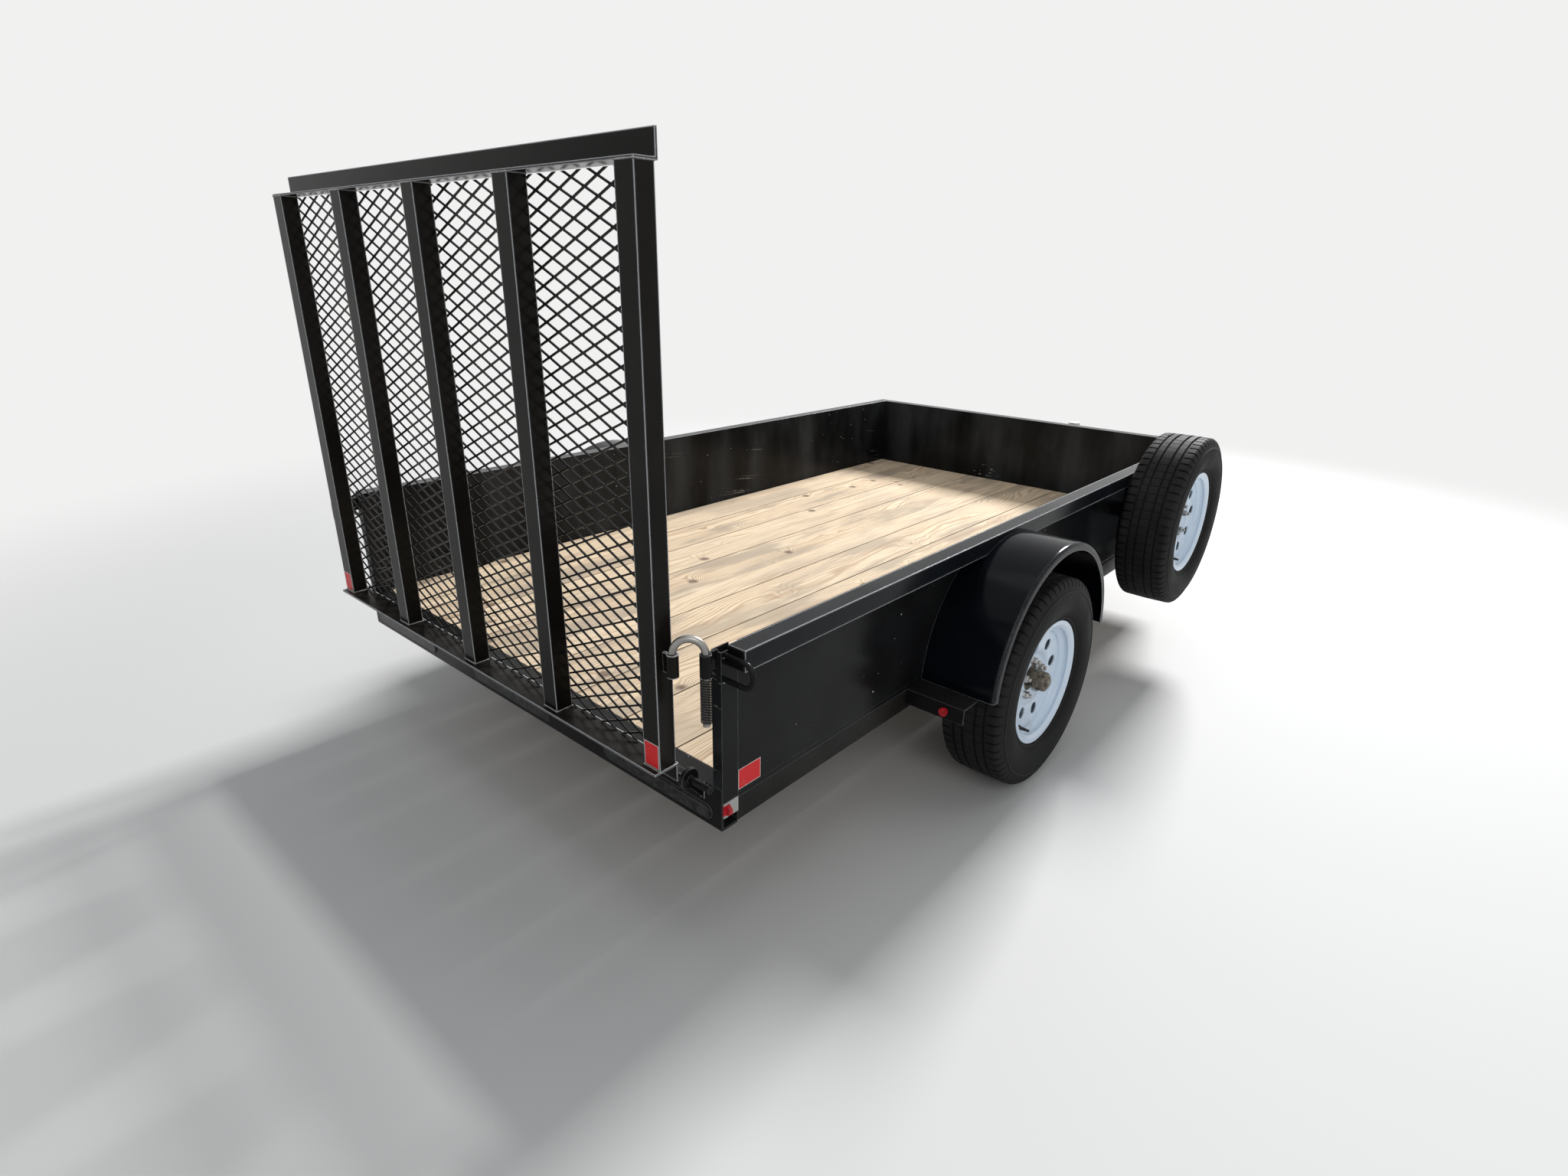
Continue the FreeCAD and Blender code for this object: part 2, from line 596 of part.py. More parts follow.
def spring_hangers():
    """Front and rear hangers under the frame rails, with the spring bolts."""
    x0 = size.axle_from_rear
    seat = size.tyre_radius - size.axle_drop + size.axle_radius + 6
    eye_z = seat + (size.leaf_count - 1) * size.leaf_thick + size.spring_arch + 11
    top = size.deck_top - size.board_thick - size.frame_depth
    hangers = []
    for sign_x in (1, -1):
        x = x0 + sign_x * size.spring_span / 2
        for side in (1, -1):
            middle = side * size.spring_half_track
            cheeks = []
            for edge in (1, -1):
                start = middle + edge * (size.spring_width / 2 + 3) - 2.5
                cheeks.append(polygon_prism([(x - 30, start, top), (x + 30, start, top), (x + 16, start, eye_z - 16),
                                             (x - 16, start, eye_z - 16)], (0, 5, 0)))
            bolt = Part.makeCylinder(7, size.spring_width + 26, Vector(x, middle - size.spring_width / 2 - 13, eye_z),
                                     Vector(0, 1, 0))
            hangers.append(cheeks[0].fuse([cheeks[1], bolt]))
    node("spring_hangers", [formed("hanger_%d" % index, shape) for index, shape in enumerate(hangers)])


def axle_clamps():
    """Seats between the axle tube and the springs, U-bolts round both and a plate below."""
    x = size.axle_from_rear
    low = size.tyre_radius - size.axle_drop
    pieces = []
    for side in (1, -1):
        middle = side * size.spring_half_track
        plate = Part.makeBox(110, 74, 8, Vector(x - 55, middle - 37, low - size.axle_radius - 8.3))
        clamp = plate
        top = low + size.axle_radius + 6 + size.leaf_count * size.leaf_thick + 12
        for end in (1, -1):
            run, reach = x + end * 38, 30.3
            foot = low - size.axle_radius - 24
            clamp = clamp.fuse(bent_rod([(run, middle - reach, foot), (run, middle - reach, top),
                                         (run, middle + reach, top), (run, middle + reach, foot)], 6, 14))
        pieces.append(clamp)
        seat = Part.makeBox(100, size.spring_width, 12, Vector(x - 50, middle - size.spring_width / 2, low + size.axle_radius - 6))
        seat = seat.cut(Part.makeCylinder(size.axle_radius, size.spring_width, Vector(x, middle - size.spring_width / 2, low), Vector(0, 1, 0)))
        pieces.append(seat)
    node("axle_clamps", [formed("clamp_%d" % index, shape) for index, shape in enumerate(pieces)])


def gate():
    """The ramp gate: five tube posts between two angles, with a mesh sheet on its front face."""
    posts = []
    for index in range(-2, 3):
        middle = "%d * gate_pitch" % index
        posts.append(tube("gate_post_%d" % (index + 3), ("-gate_rear", "gate_tube_depth"),
                          (middle + " - gate_tube_width / 2", "gate_tube_width"),
                          ("gate_foot", "gate_post_height"), "gate_tube_wall", "z"))
    node("gate_posts", posts)
    across = ("-2 * gate_pitch - gate_tube_width / 2", "4 * gate_pitch + gate_tube_width")
    leg = block("top_leg", ("-gate_rear", "top_angle_leg"), across, (GATE_TOP, "angle_wall"))
    rise = block("top_rise", (GATE_FRONT + " + mesh_thick", "angle_wall"), across, (GATE_TOP, "top_angle_leg"))
    node("gate_top_angle", [join("top_angle", [leg, rise])])
    shelf = block("bottom_shelf", (GATE_FRONT + " + angle_wall + mesh_thick - bottom_angle_leg", "bottom_angle_leg"),
                  across, ("gate_foot - angle_wall", "angle_wall"))
    drop = block("bottom_drop", (GATE_FRONT + " + mesh_thick", "angle_wall"), across,
                 ("gate_foot - bottom_angle_drop", "bottom_angle_drop"))
    node("gate_bottom_angle", [join("bottom_angle", [shelf, drop])])
    node("gate_mesh", [formed("mesh_sheet", mesh_solid())])


def mesh_solid():
    """Flattened expanded metal: one sheet with staggered diamond openings."""
    width = 4 * size.gate_pitch + size.gate_tube_width
    height = size.gate_post_height - 4
    front = size.gate_tube_depth - size.gate_rear
    low = size.gate_foot + 2
    outline = [(front, -width / 2, low), (front, width / 2, low), (front, width / 2, low + height),
               (front, -width / 2, low + height)]
    wires = [Part.makePolygon([Vector(*point) for point in outline + outline[:1]])]
    slope = math.hypot(size.mesh_long, size.mesh_short)
    half_long = size.mesh_long / 2 - size.mesh_strand * slope / (2 * size.mesh_short)
    half_short = size.mesh_short / 2 - size.mesh_strand * slope / (2 * size.mesh_long)
    columns = int(width / size.mesh_long) + 1
    rows = int(height / size.mesh_short) + 1
    for stagger in (0, 0.5):
        for column in range(-columns, columns + 1):
            for row in range(rows + 1):
                y = (column + stagger) * size.mesh_long
                z = low + (row + 0.5 + stagger) * size.mesh_short
                inside_y = abs(y) + half_long < width / 2 - size.mesh_strand
                inside_z = low + size.mesh_strand < z - half_short and z + half_short < low + height - size.mesh_strand
                if inside_y and inside_z:
                    corners = [(y - half_long, z), (y, z - half_short), (y + half_long, z), (y, z + half_short)]
                    points = [Vector(front, cy, cz) for cy, cz in corners]
                    wires.append(Part.makePolygon(points + points[:1]))
    face = Part.makeFace(wires, "Part::FaceMakerBullseye")
    return face.extrude(Vector(size.mesh_thick, 0, 0))


HINGES = (2, -2)


def hinges():
    """Lugs with pins on the rear channel, and the gate's knuckles that turn on them."""
    x, z = -size.hinge_back, size.hinge_height
    lugs = []
    knuckles = []
    wall_front = size.gate_tube_depth - size.gate_rear + size.mesh_thick + size.angle_wall
    for order in HINGES:
        sign = 1 if order > 0 else -1
        middle = order * size.gate_pitch
        if abs(order) == 2:
            lug_y = middle + sign * 40
            pin_end = sign * (size.bed_width / 2 + 8)
        else:
            lug_y = middle + sign * 34
            pin_end = lug_y + sign * 14
        pin_start = lug_y - sign * 62
        low, high = sorted((pin_start, pin_end))
        pin = Part.makeCylinder(size.hinge_pin, high - low, Vector(x, low, z), Vector(0, 1, 0))
        lug = Part.makeCylinder(24, 10, Vector(x, lug_y - 5, z), Vector(0, 1, 0))
        web = polygon_prism([(x, lug_y - 5, z + 18), (x, lug_y - 5, z - 24),
                             (-size.channel_setback, lug_y - 5, z - 70), (-size.channel_setback, lug_y - 5, z - 26),
                             (-size.channel_setback - 14, lug_y - 5, z - 14)], (0, 10, 0))
        lugs.append(lug.fuse([web, pin]))
        start = min(pin_start, lug_y - sign * 5.5)
        start, end = sorted((pin_start, lug_y - sign * 5.5))
        knuckle = Part.makeCylinder(size.hinge_tube, end - start, Vector(x, start, z), Vector(0, 1, 0))
        bridge = Part.makeBox(x - wall_front, end - start, size.hinge_tube,
                              Vector(wall_front, start, z))
        bore = Part.makeCylinder(size.hinge_pin + 0.05, end - start + 2, Vector(x, start - 1, z), Vector(0, 1, 0))
        knuckles.append(knuckle.fuse(bridge).cut(bore))
    node("hinge_lugs", [formed("lug_%d" % index, shape) for index, shape in enumerate(lugs)])
    node("gate_knuckles", [formed("knuckle_%d" % index, shape) for index, shape in enumerate(knuckles)])


def latches():
    """The gate latch: a bent rod held down by a spring in a sleeve on the corner post."""
    gate_x = -(size.gate_rear - size.gate_tube_depth / 2)
    gate_y = 2 * size.gate_pitch + size.gate_tube_width / 2 + size.latch_sleeve + 14
    post_x, post_y = -60.0, size.bed_width / 2
    top, length = size.latch_top, size.latch_height
    rod_r, sleeve = size.latch_rod, size.latch_sleeve
    bore = rod_r + size.latch_play
    up = Vector(0, 0, 1)
    gate_sleeve = Part.makeCylinder(sleeve, length, Vector(gate_x, gate_y, top - length), up)
    ear = Part.makeBox(6, 16, length - 6, Vector(gate_x - 3, gate_y - sleeve - 14, top - length + 3))
    gate_sleeve = gate_sleeve.fuse(ear).cut(Part.makeCylinder(bore, length, Vector(gate_x, gate_y, top - length), up))
    post_sleeve = Part.makeCylinder(sleeve, length, Vector(post_x, post_y, top - length), up)
    arm = Part.makeBox(-size.channel_setback - post_x, 6, length - 10, Vector(post_x, post_y - 3 - 9, top - length + 5))
    post_sleeve = post_sleeve.fuse(arm).cut(Part.makeCylinder(bore, length, Vector(post_x, post_y, top - length), up))
    across = Vector(post_x - gate_x, post_y - gate_y, 0)
    span = across.Length
    middle = Vector((post_x + gate_x) / 2, (post_y + gate_y) / 2, top + span / 2 + 0.6)
    start = Vector(gate_x, gate_y, top + 0.6)
    over = Vector(post_x, post_y, top + 0.6)
    end = Vector(post_x, post_y, top - length - size.spring_drop - 6)
    path = Part.Wire([Part.Arc(start, middle, over).toShape(), Part.LineSegment(over, end).toShape()])
    ring = Part.Wire(Part.makeCircle(rod_r, start, up))
    bent = path.makePipeShell([ring], True, True)
    coil = Part.makeCylinder(sleeve, size.spring_drop - 2, Vector(post_x, post_y, top - length - size.spring_drop), up)
    coil = coil.cut(Part.makeCylinder(rod_r + 0.3, size.spring_drop, Vector(post_x, post_y, top - length - size.spring_drop), up))
    flip = Vector(0, 1, 0)
    for label, shape in (("gate_sleeves", gate_sleeve), ("post_sleeves", post_sleeve), ("latch_rods", bent),
                         ("latch_springs", coil)):
        node(label, [formed(label + "_left", shape), formed(label + "_right", shape.mirror(Vector(), flip))])


def tie_loops():
    """Rod loops outside the corner posts and inside the bed for straps."""
    wall = size.bed_width / 2 + size.sheet
    outer = bent_rod([(-8, wall + 0.3, 768), (-8, wall + 78, 768), (-8, wall + 78, 712), (-8, wall + 0.3, 712)],
                     size.loop_rod, 27)
    inside = size.bed_width / 2
    loops = [outer]
    for station in (230, 2865):
        loops.append(bent_rod([(station - 32, inside - 0.3, 520), (station - 32, inside - 40, 520),
                               (station + 32, inside - 40, 520), (station + 32, inside - 0.3, 520)],
                              size.loop_rod, 20))
    flip = Vector(0, 1, 0)
    node("corner_loops", [formed("corner_loop_left", outer), formed("corner_loop_right", outer.mirror(Vector(), flip))])
    pieces = loops[1:] + [shape.mirror(Vector(), flip) for shape in loops[1:]]
    node("tie_loops", [formed("tie_loop_%d" % index, shape) for index, shape in enumerate(pieces)])


def marker_lamps():
    """Round red lamps at the feet of the corner posts and on the fender brackets."""
    lamps = []
    spots = [(-2, size.bed_width / 2 + size.sheet + 2, 392),
             (size.axle_from_rear - size.fender_radius - 76.3, size.bed_width / 2 + 125, 388)]
    for x, y, z in spots:
        lamps.append(Part.makeCylinder(12, 9, Vector(x, y, z), Vector(-1, 0, 0)))
    bracket = Part.makeBox(44, 4.5, 38, Vector(-18, size.bed_width / 2 + 0.3, 375))
    flip = Vector(0, 1, 0)
    lamps[0] = lamps[0].fuse(bracket)
    pieces = lamps + [lamp.mirror(Vector(), flip) for lamp in lamps]
    node("marker_lamps", [formed("marker_%d" % index, shape) for index, shape in enumerate(pieces)])


def tongue():
    """Two channels that run from under the bed to the coupler."""
    turn = math.radians(size.tongue_angle)
    top = size.deck_top - size.board_thick - size.frame_depth
    nose = size.ball_station - 130
    length = (nose - size.tongue_root) / math.cos(turn)
    depth, flange, wall = size.tongue_depth, size.tongue_flange, size.tongue_wall
    web = Part.makeBox(length, wall, depth, Vector(0, 0, 0))
    upper = Part.makeBox(length, flange, wall, Vector(0, 0, depth - wall))
    lower = Part.makeBox(length, flange, wall, Vector(0, 0, 0))
    leg = web.fuse([upper, lower])
    leg.rotate(Vector(), Vector(0, 0, 1), math.degrees(turn))
    leg.translate(Vector(size.tongue_root, -34 - length * math.sin(turn), top - depth))
    trim = Part.makeBox(3000, 1000, 400, Vector(1000, -0.5, 0))
    leg = leg.cut(trim)
    node("tongue_right", [formed("tongue_right_channel", leg)])
    node("tongue_left", [formed("tongue_left_channel", leg.mirror(Vector(), Vector(0, 1, 0)))])


def coupler():
    """The stamped coupler: a hollow nose over the ball and a channel behind it."""
    x, z = size.ball_station, size.ball_height
    wall = size.coupler_wall
    radius = size.ball_radius + 0.5
    outer = radius + wall
    dome = Part.makeSphere(outer, Vector(x, 0, z))
    skirt = Part.makeCylinder(outer, 26, Vector(x, 0, z - 26), Vector(0, 0, 1))
    top = size.deck_top - size.board_thick - size.frame_depth
    body = Part.makeBox(230, 2 * outer, z + 18 - top, Vector(x - 260, -outer, top))
    neck = Part.makeBox(60, 2 * outer - 8, 30, Vector(x - 60, 4 - outer, z - 12))
    plate = Part.makeBox(120, 120, 6, Vector(x - 250, -60, top))
    solid = dome.fuse([skirt, neck, body])
    solid = solid.cut(Part.makeBox(200, 200, 200, Vector(x - 60, -100, z - 226)))
    solid = solid.cut(Part.makeSphere(radius, Vector(x, 0, z)))
    solid = solid.cut(Part.makeCylinder(radius, 60, Vector(x, 0, z - 60), Vector(0, 0, 1)))
    hollow = Part.makeBox(190, 2 * radius, z + 18 - wall - top, Vector(x - 250, -radius, top - 1))
    solid = solid.cut(hollow).fuse(plate)
    node("coupler", [formed("coupler_solid", solid)])
    lever = Part.makeBox(110, 18, 8, Vector(x - 150, -9, z + 30))
    pivot = Part.makeBox(30, 26, 14, Vector(x - 60, -13, z + 18))
    node("coupler_latch", [formed("latch_lever", lever.fuse(pivot))])


def jack():
    """The tongue jack: a fixed outer tube with a crank and a sliding inner tube with a foot."""
    x = size.jack_station
    radius, wall = size.jack_radius, size.jack_wall
    bottom, length = size.jack_bottom, size.jack_length
    up = Vector(0, 0, 1)
    top = size.deck_top - size.board_thick - size.frame_depth
    outer = Part.makeCylinder(radius, length, Vector(x, 0, bottom), up)
    outer = outer.cut(Part.makeCylinder(radius - wall, length - wall, Vector(x, 0, bottom), up))
    plate = polygon_prism([(x - 95, -165, top), (x + 75, -88, top), (x + 75, 88, top), (x - 95, 165, top)], (0, 0, 8))
    plate = plate.cut(Part.makeCylinder(radius, 20, Vector(x, 0, top - 5), up))
    tube_part = outer.fuse(plate)
    head = Part.makeCylinder(radius + 4, 40, Vector(x, 0, bottom + length), up)
    tube_part = tube_part.fuse(head)
    node("jack_tube", [formed("jack_tube_solid", tube_part)])
    crank = bent_rod([(x, radius + 4, bottom + length + 20), (x, radius + 40, bottom + length + 20),
                      (x, radius + 40, bottom + length - 130), (x, radius + 120, bottom + length - 130)], 6, 12)
    node("jack_crank", [formed("jack_crank_rod", crank)])
    inner_radius = radius - wall - size.jack_play
    leg = Part.makeCylinder(inner_radius, bottom + 170, Vector(x, 0, 6), up)
    leg = leg.cut(Part.makeCylinder(inner_radius - wall, bottom + 171, Vector(x, 0, 6), up))
    foot = Part.makeCylinder(size.foot_size / 2, 6, Vector(x, 0, 0), up)
    node("jack_leg", [formed("jack_leg_solid", leg.fuse(foot))])


PARTS = (frame_rails, crossmembers, rear_channel, lamp_bars, deck_boards, walls, top_rails, front_channel,
         corner_posts, fenders, fender_brackets, wheels, spare_carrier, axle, leaf_springs, spring_hangers,
         axle_clamps, gate, hinges, latches, tie_loops, marker_lamps, tongue, coupler, jack)


def build():
    for make in PARTS:
        make()
    doc.recompute()
    for piece in doc.Objects:
        if "Invalid" in piece.State or "Error" in piece.State:
            raise RuntimeError("failed: %s %s" % (piece.Label, piece.State))
    os.makedirs("parts", exist_ok=True)
    for piece in NODES:
        if piece.Shape.isNull() or not piece.Shape.isValid():
            raise RuntimeError("bad shape: " + piece.Label)
        piece.Shape.exportStep("parts/%s.step" % piece.Label)
        print(piece.Label, len(piece.Shape.Solids), round(piece.Shape.Volume / 1000))


build()
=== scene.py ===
# %% [markdown]
# A utility trailer, dressed for its portrait. The steel, the boards and the wheels arrive as a fixed
# frame of exact parts. This lesson gives every part its finish and adds the small things that make it
# believable: the gate's mesh at its true pitch, coil springs, tyre tread, weld beads and reflectors.

# %% Load the frame
import math

import bmesh
import bpy
from mathutils import Matrix, Vector

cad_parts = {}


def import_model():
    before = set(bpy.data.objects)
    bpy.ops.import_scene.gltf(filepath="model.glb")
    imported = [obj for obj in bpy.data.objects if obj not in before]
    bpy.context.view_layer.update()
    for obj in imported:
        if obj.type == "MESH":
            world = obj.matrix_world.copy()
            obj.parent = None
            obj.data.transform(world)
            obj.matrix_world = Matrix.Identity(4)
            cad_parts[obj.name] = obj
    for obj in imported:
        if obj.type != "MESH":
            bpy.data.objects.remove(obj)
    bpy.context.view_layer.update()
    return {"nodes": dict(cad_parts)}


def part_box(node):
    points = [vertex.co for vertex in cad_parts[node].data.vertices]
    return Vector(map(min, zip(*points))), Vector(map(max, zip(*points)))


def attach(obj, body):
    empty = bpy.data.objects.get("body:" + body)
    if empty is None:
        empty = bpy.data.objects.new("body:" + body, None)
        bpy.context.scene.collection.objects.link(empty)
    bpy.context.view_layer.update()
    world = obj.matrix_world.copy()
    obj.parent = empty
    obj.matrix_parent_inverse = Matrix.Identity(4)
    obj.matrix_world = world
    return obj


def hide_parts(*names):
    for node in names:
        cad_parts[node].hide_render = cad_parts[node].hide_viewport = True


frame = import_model()
RANDOM_SEED = 7
MM = 0.001

# %% [markdown]
# The camera stands where the photographer stood. Its place and its three directions were measured
# once from the photograph, in the trailer's own coordinates, so the picture lines up with the photo
# without any trial and error.

# %% Camera
PHOTO_WIDTH = 2048
FOCAL_PIXELS = 1065.9
SENSOR = 36.0
CAMERA_PLACE = Vector((-3.0572, -1.8961, 1.4931))
CAMERA_RIGHT = Vector((0.65764923, -0.7531194, 0.01756873))
CAMERA_DOWN = Vector((-0.26277147, -0.2511929, -0.93158643))
CAMERA_AHEAD = Vector((0.70600895, 0.60804054, -0.36309511))


def photo_camera():
    data = bpy.data.cameras.new("photo_camera")
    data.sensor_width = SENSOR
    data.lens = FOCAL_PIXELS / PHOTO_WIDTH * SENSOR
    camera = bpy.data.objects.new("photo_camera", data)
    turn = Matrix((CAMERA_RIGHT, -CAMERA_DOWN, -CAMERA_AHEAD)).transposed()
    camera.matrix_world = Matrix.Translation(CAMERA_PLACE) @ turn.to_4x4()
    bpy.context.scene.collection.objects.link(camera)
    bpy.context.scene.camera = camera
    return camera


print("camera lens", round(photo_camera().data.lens, 2))

# %% [markdown]
# Nodes are wired by a few short helpers. Each one makes a single node and returns its output, so a
# finish reads like a sentence instead of a heap of links. The same helpers serve Geometry Nodes.

# %% Helpers for shader nodes
MIX_FACTOR = 0
MIX_FIRST = 6
MIX_SECOND = 7
MIX_RESULT = 2


def wire(tree, kind, inputs, **settings):
    """A new node whose inputs are plain values or other nodes' outputs."""
    made = tree.nodes.new(kind)
    for name, value in settings.items():
        setattr(made, name, value)
    for key, value in inputs.items():
        if isinstance(value, bpy.types.NodeSocket):
            tree.links.new(value, made.inputs[key])
        else:
            made.inputs[key].default_value = value
    return made


def wired(tree, kind, inputs, **settings):
    """The first output of such a node."""
    return wire(tree, kind, inputs, **settings).outputs[0]


def maths(tree, operation, *values):
    return wired(tree, "ShaderNodeMath", dict(enumerate(values)), operation=operation)


def times(tree, first, second):
    return maths(tree, "MULTIPLY", first, second)


def spread(tree, value, factor, start):
    """The value times a factor, from a start."""
    return maths(tree, "MULTIPLY_ADD", value, factor, start)


def noise(tree, vector, scale, detail=4.0):
    return wire(tree, "ShaderNodeTexNoise",
                {"Vector": vector, "Scale": scale, "Detail": detail}).outputs["Fac"]


def rise(tree, value, start, end):
    """0 below the start, 1 above the end and a soft step between them."""
    inputs = {"Value": value, "From Min": start, "From Max": end}
    return wire(tree, "ShaderNodeMapRange", inputs, interpolation_type="SMOOTHSTEP").outputs["Result"]


def colours(tree, factor, first, second):
    inputs = {MIX_FACTOR: factor, MIX_FIRST: first, MIX_SECOND: second}
    return wire(tree, "ShaderNodeMix", inputs, data_type="RGBA").outputs[MIX_RESULT]


def scaled(tree, vector, factors):
    return wired(tree, "ShaderNodeVectorMath", {0: vector, 1: factors}, operation="MULTIPLY")


def parts_of(tree, vector):
    return wire(tree, "ShaderNodeSeparateXYZ", {"Vector": vector}).outputs


def bump(tree, height, distance, strength=1.0, normal=None):
    inputs = {"Height": height, "Distance": distance, "Strength": strength}
    if normal:
        inputs["Normal"] = normal
    return wire(tree, "ShaderNodeBump", inputs).outputs["Normal"]


def new_finish(name):
    """A material with its tree, its shader and the two coordinates that its patterns read."""
    finish = bpy.data.materials.new(name)
    finish.use_nodes = True
    tree = finish.node_tree
    place = tree.nodes.new("ShaderNodeTexCoord")
    return finish, tree, tree.nodes["Principled BSDF"], place.outputs["Object"], place.outputs["Normal"]


def join_to(tree, shader, **sockets):
    """Link outputs to the shader's inputs, or set plain values on them."""
    for name, value in sockets.items():
        target = shader.inputs[name.replace("_", " ")]
        if isinstance(value, bpy.types.NodeSocket):
            tree.links.new(value, target)
        else:
            target.default_value = value


print("shader helpers ready")

# %% [markdown]
# The studio is a pale floor, a pale world and large soft lamps. Gloss black paint shows what stands
# round it, so the world and the big lamps matter more here than on a matt object. Far from the
# trailer the floor turns into the background's own plain colour, so that no horizon shows.

# %% Floor, world and lamps
BACKGROUND = (0.88, 0.88, 0.875, 1.0)
FLOOR_COLOUR = (0.55, 0.55, 0.545, 1.0)
FLOOR_SIDE = 120.0
FADE_START = 2.9
FADE_END = 5.8
WORLD_COLOUR = (0.93, 0.96, 1.0, 1.0)
WORLD_STRENGTH = 0.38
LAMPS = [
    # name, place, aim, side of the lamp, watts
    ("key_lamp", (12.1, 0.9, 9.8), (0.2, 0.0, 0.4), 3.4, 4150.0),
    ("camera_side_lamp", (-5.0, -5.5, 4.5), (0.0, -0.6, 0.5), 4.0, 110.0),
    ("top_lamp", (-0.5, -1.0, 7.0), (0.0, -0.3, 0.4), 5.0, 70.0),
]


def seen_or_mirrored(tree):
    """1 for rays from the camera and for rays that gloss or glass sends on."""
    path = tree.nodes.new("ShaderNodeLightPath").outputs
    seen = maths(tree, "MAXIMUM", path["Is Camera Ray"], path["Is Glossy Ray"])
    return maths(tree, "MAXIMUM", seen, path["Is Transmission Ray"])


def floor():
    mesh = bpy.data.meshes.new("floor")
    half = FLOOR_SIDE / 2
    mesh.from_pydata([(-half, -half, 0), (half, -half, 0), (half, half, 0), (-half, half, 0)], [],
                     [(0, 1, 2, 3)])
    piece = bpy.data.objects.new("floor", mesh)
    bpy.context.scene.collection.objects.link(piece)
    finish, tree, shader, place, _ = new_finish("studio_floor")
    join_to(tree, shader, Base_Color=FLOOR_COLOUR, Roughness=0.8)
    x, y, _ = parts_of(tree, place)
    distance = maths(tree, "SQRT", maths(tree, "ADD", times(tree, x, x), times(tree, y, y)))
    far = times(tree, rise(tree, distance, FADE_START, FADE_END), seen_or_mirrored(tree))
    plain = wire(tree, "ShaderNodeEmission", {"Color": BACKGROUND})
    mix = wire(tree, "ShaderNodeMixShader", {"Fac": far, 1: shader.outputs["BSDF"], 2: plain.outputs[0]})
    tree.links.new(mix.outputs[0], tree.nodes["Material Output"].inputs["Surface"])
    mesh.materials.append(finish)


def world():
    sky = bpy.data.worlds.new("studio")
    bpy.context.scene.world = sky
    sky.use_nodes = True
    tree = sky.node_tree
    light = tree.nodes["Background"]
    light.inputs["Color"].default_value = WORLD_COLOUR
    light.inputs["Strength"].default_value = WORLD_STRENGTH
    plain = wire(tree, "ShaderNodeBackground", {"Color": BACKGROUND})
    mix = wire(tree, "ShaderNodeMixShader",
               {"Fac": seen_or_mirrored(tree), 1: light.outputs[0], 2: plain.outputs[0]})
    tree.links.new(mix.outputs[0], tree.nodes["World Output"].inputs["Surface"])


def lamps():
    for name, place, aim, side, watts in LAMPS:
        data = bpy.data.lights.new(name, "AREA")
        data.size = side
        data.energy = watts
        lamp = bpy.data.objects.new(name, data)
        lamp.location = place
        lamp.rotation_euler = (Vector(aim) - Vector(place)).to_track_quat("-Z", "Y").to_euler()
        bpy.context.scene.collection.objects.link(lamp)


floor()
world()
lamps()
bpy.context.scene.view_settings.view_transform = "Standard"
print("studio with", len(LAMPS), "lamps")

# %% [markdown]
# Every place that the added pieces need is read from the frame: the rails' rear end, the walls, the
# gate and the wheels. Nothing is typed in twice, so a longer trailer would still be dressed rightly.

# %% Places read from the frame
def low(node):
    return Vector(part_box(node)[0])


def high(node):
    return Vector(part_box(node)[1])


def middle(node):
    return (low(node) + high(node)) / 2


WALL_SHEET = 2.5 * MM
RAIL_REAR = low("side_rails").x
WALL_OUT = high("side_walls").y
WALL_IN = WALL_OUT - WALL_SHEET
WALL_FRONT = high("side_walls").x
DECK_TOP = high("deck_boards").z
AXLE_X = middle("rim_left").x
AXLE_Z = middle("rim_left").z
MESH_LOW, MESH_HIGH = low("gate_mesh"), high("gate_mesh")
POST_REAR = low("gate_posts").x
GATE_SIDE = high("gate_posts").y
print("rails start at", round(RAIL_REAR, 3), "deck at", round(DECK_TOP, 3))

# %% [markdown]
# Four effects turn up in many finishes, so each is a node group, built once. Dust settles on faces
# that look up. Specks are dried splashes on paint, and scratches run along the bed. The edge group
# rounds sharp corners for the light, as a coat of paint does, and says where an edge is.

# %% Shared effects
def new_group(name, inputs, outputs):
    tree = bpy.data.node_groups.new(name, "ShaderNodeTree")
    for label, kind, value in inputs:
        socket = tree.interface.new_socket(label, in_out="INPUT", socket_type="NodeSocket" + kind)
        if value is not None:
            socket.default_value = value
    for label, kind in outputs:
        tree.interface.new_socket(label, in_out="OUTPUT", socket_type="NodeSocket" + kind)
    return tree, tree.nodes.new("NodeGroupInput").outputs, tree.nodes.new("NodeGroupOutput").inputs


def use_group(tree, name, **inputs):
    made = tree.nodes.new("ShaderNodeGroup")
    made.node_tree = bpy.data.node_groups[name]
    join_to(tree, made, **inputs)
    return made.outputs


def settled_dust():
    tree, given, result = new_group("settled_dust", [("Vector", "Vector", None), ("Normal", "Vector", None),
                                                     ("Amount", "Float", 0.3)], [("Dust", "Float")])
    upward = rise(tree, parts_of(tree, given["Normal"])[2], -0.3, 1.0)
    clouds = rise(tree, noise(tree, given["Vector"], 3.0, 8.0), 0.35, 0.72)
    grains = rise(tree, noise(tree, given["Vector"], 260.0, 3.0), 0.35, 0.7)
    share = spread(tree, upward, 0.7, 0.3)
    share = times(tree, share, spread(tree, clouds, 0.8, 0.2))
    share = times(tree, share, spread(tree, grains, 0.6, 0.4))
    tree.links.new(times(tree, share, given["Amount"]), result["Dust"])


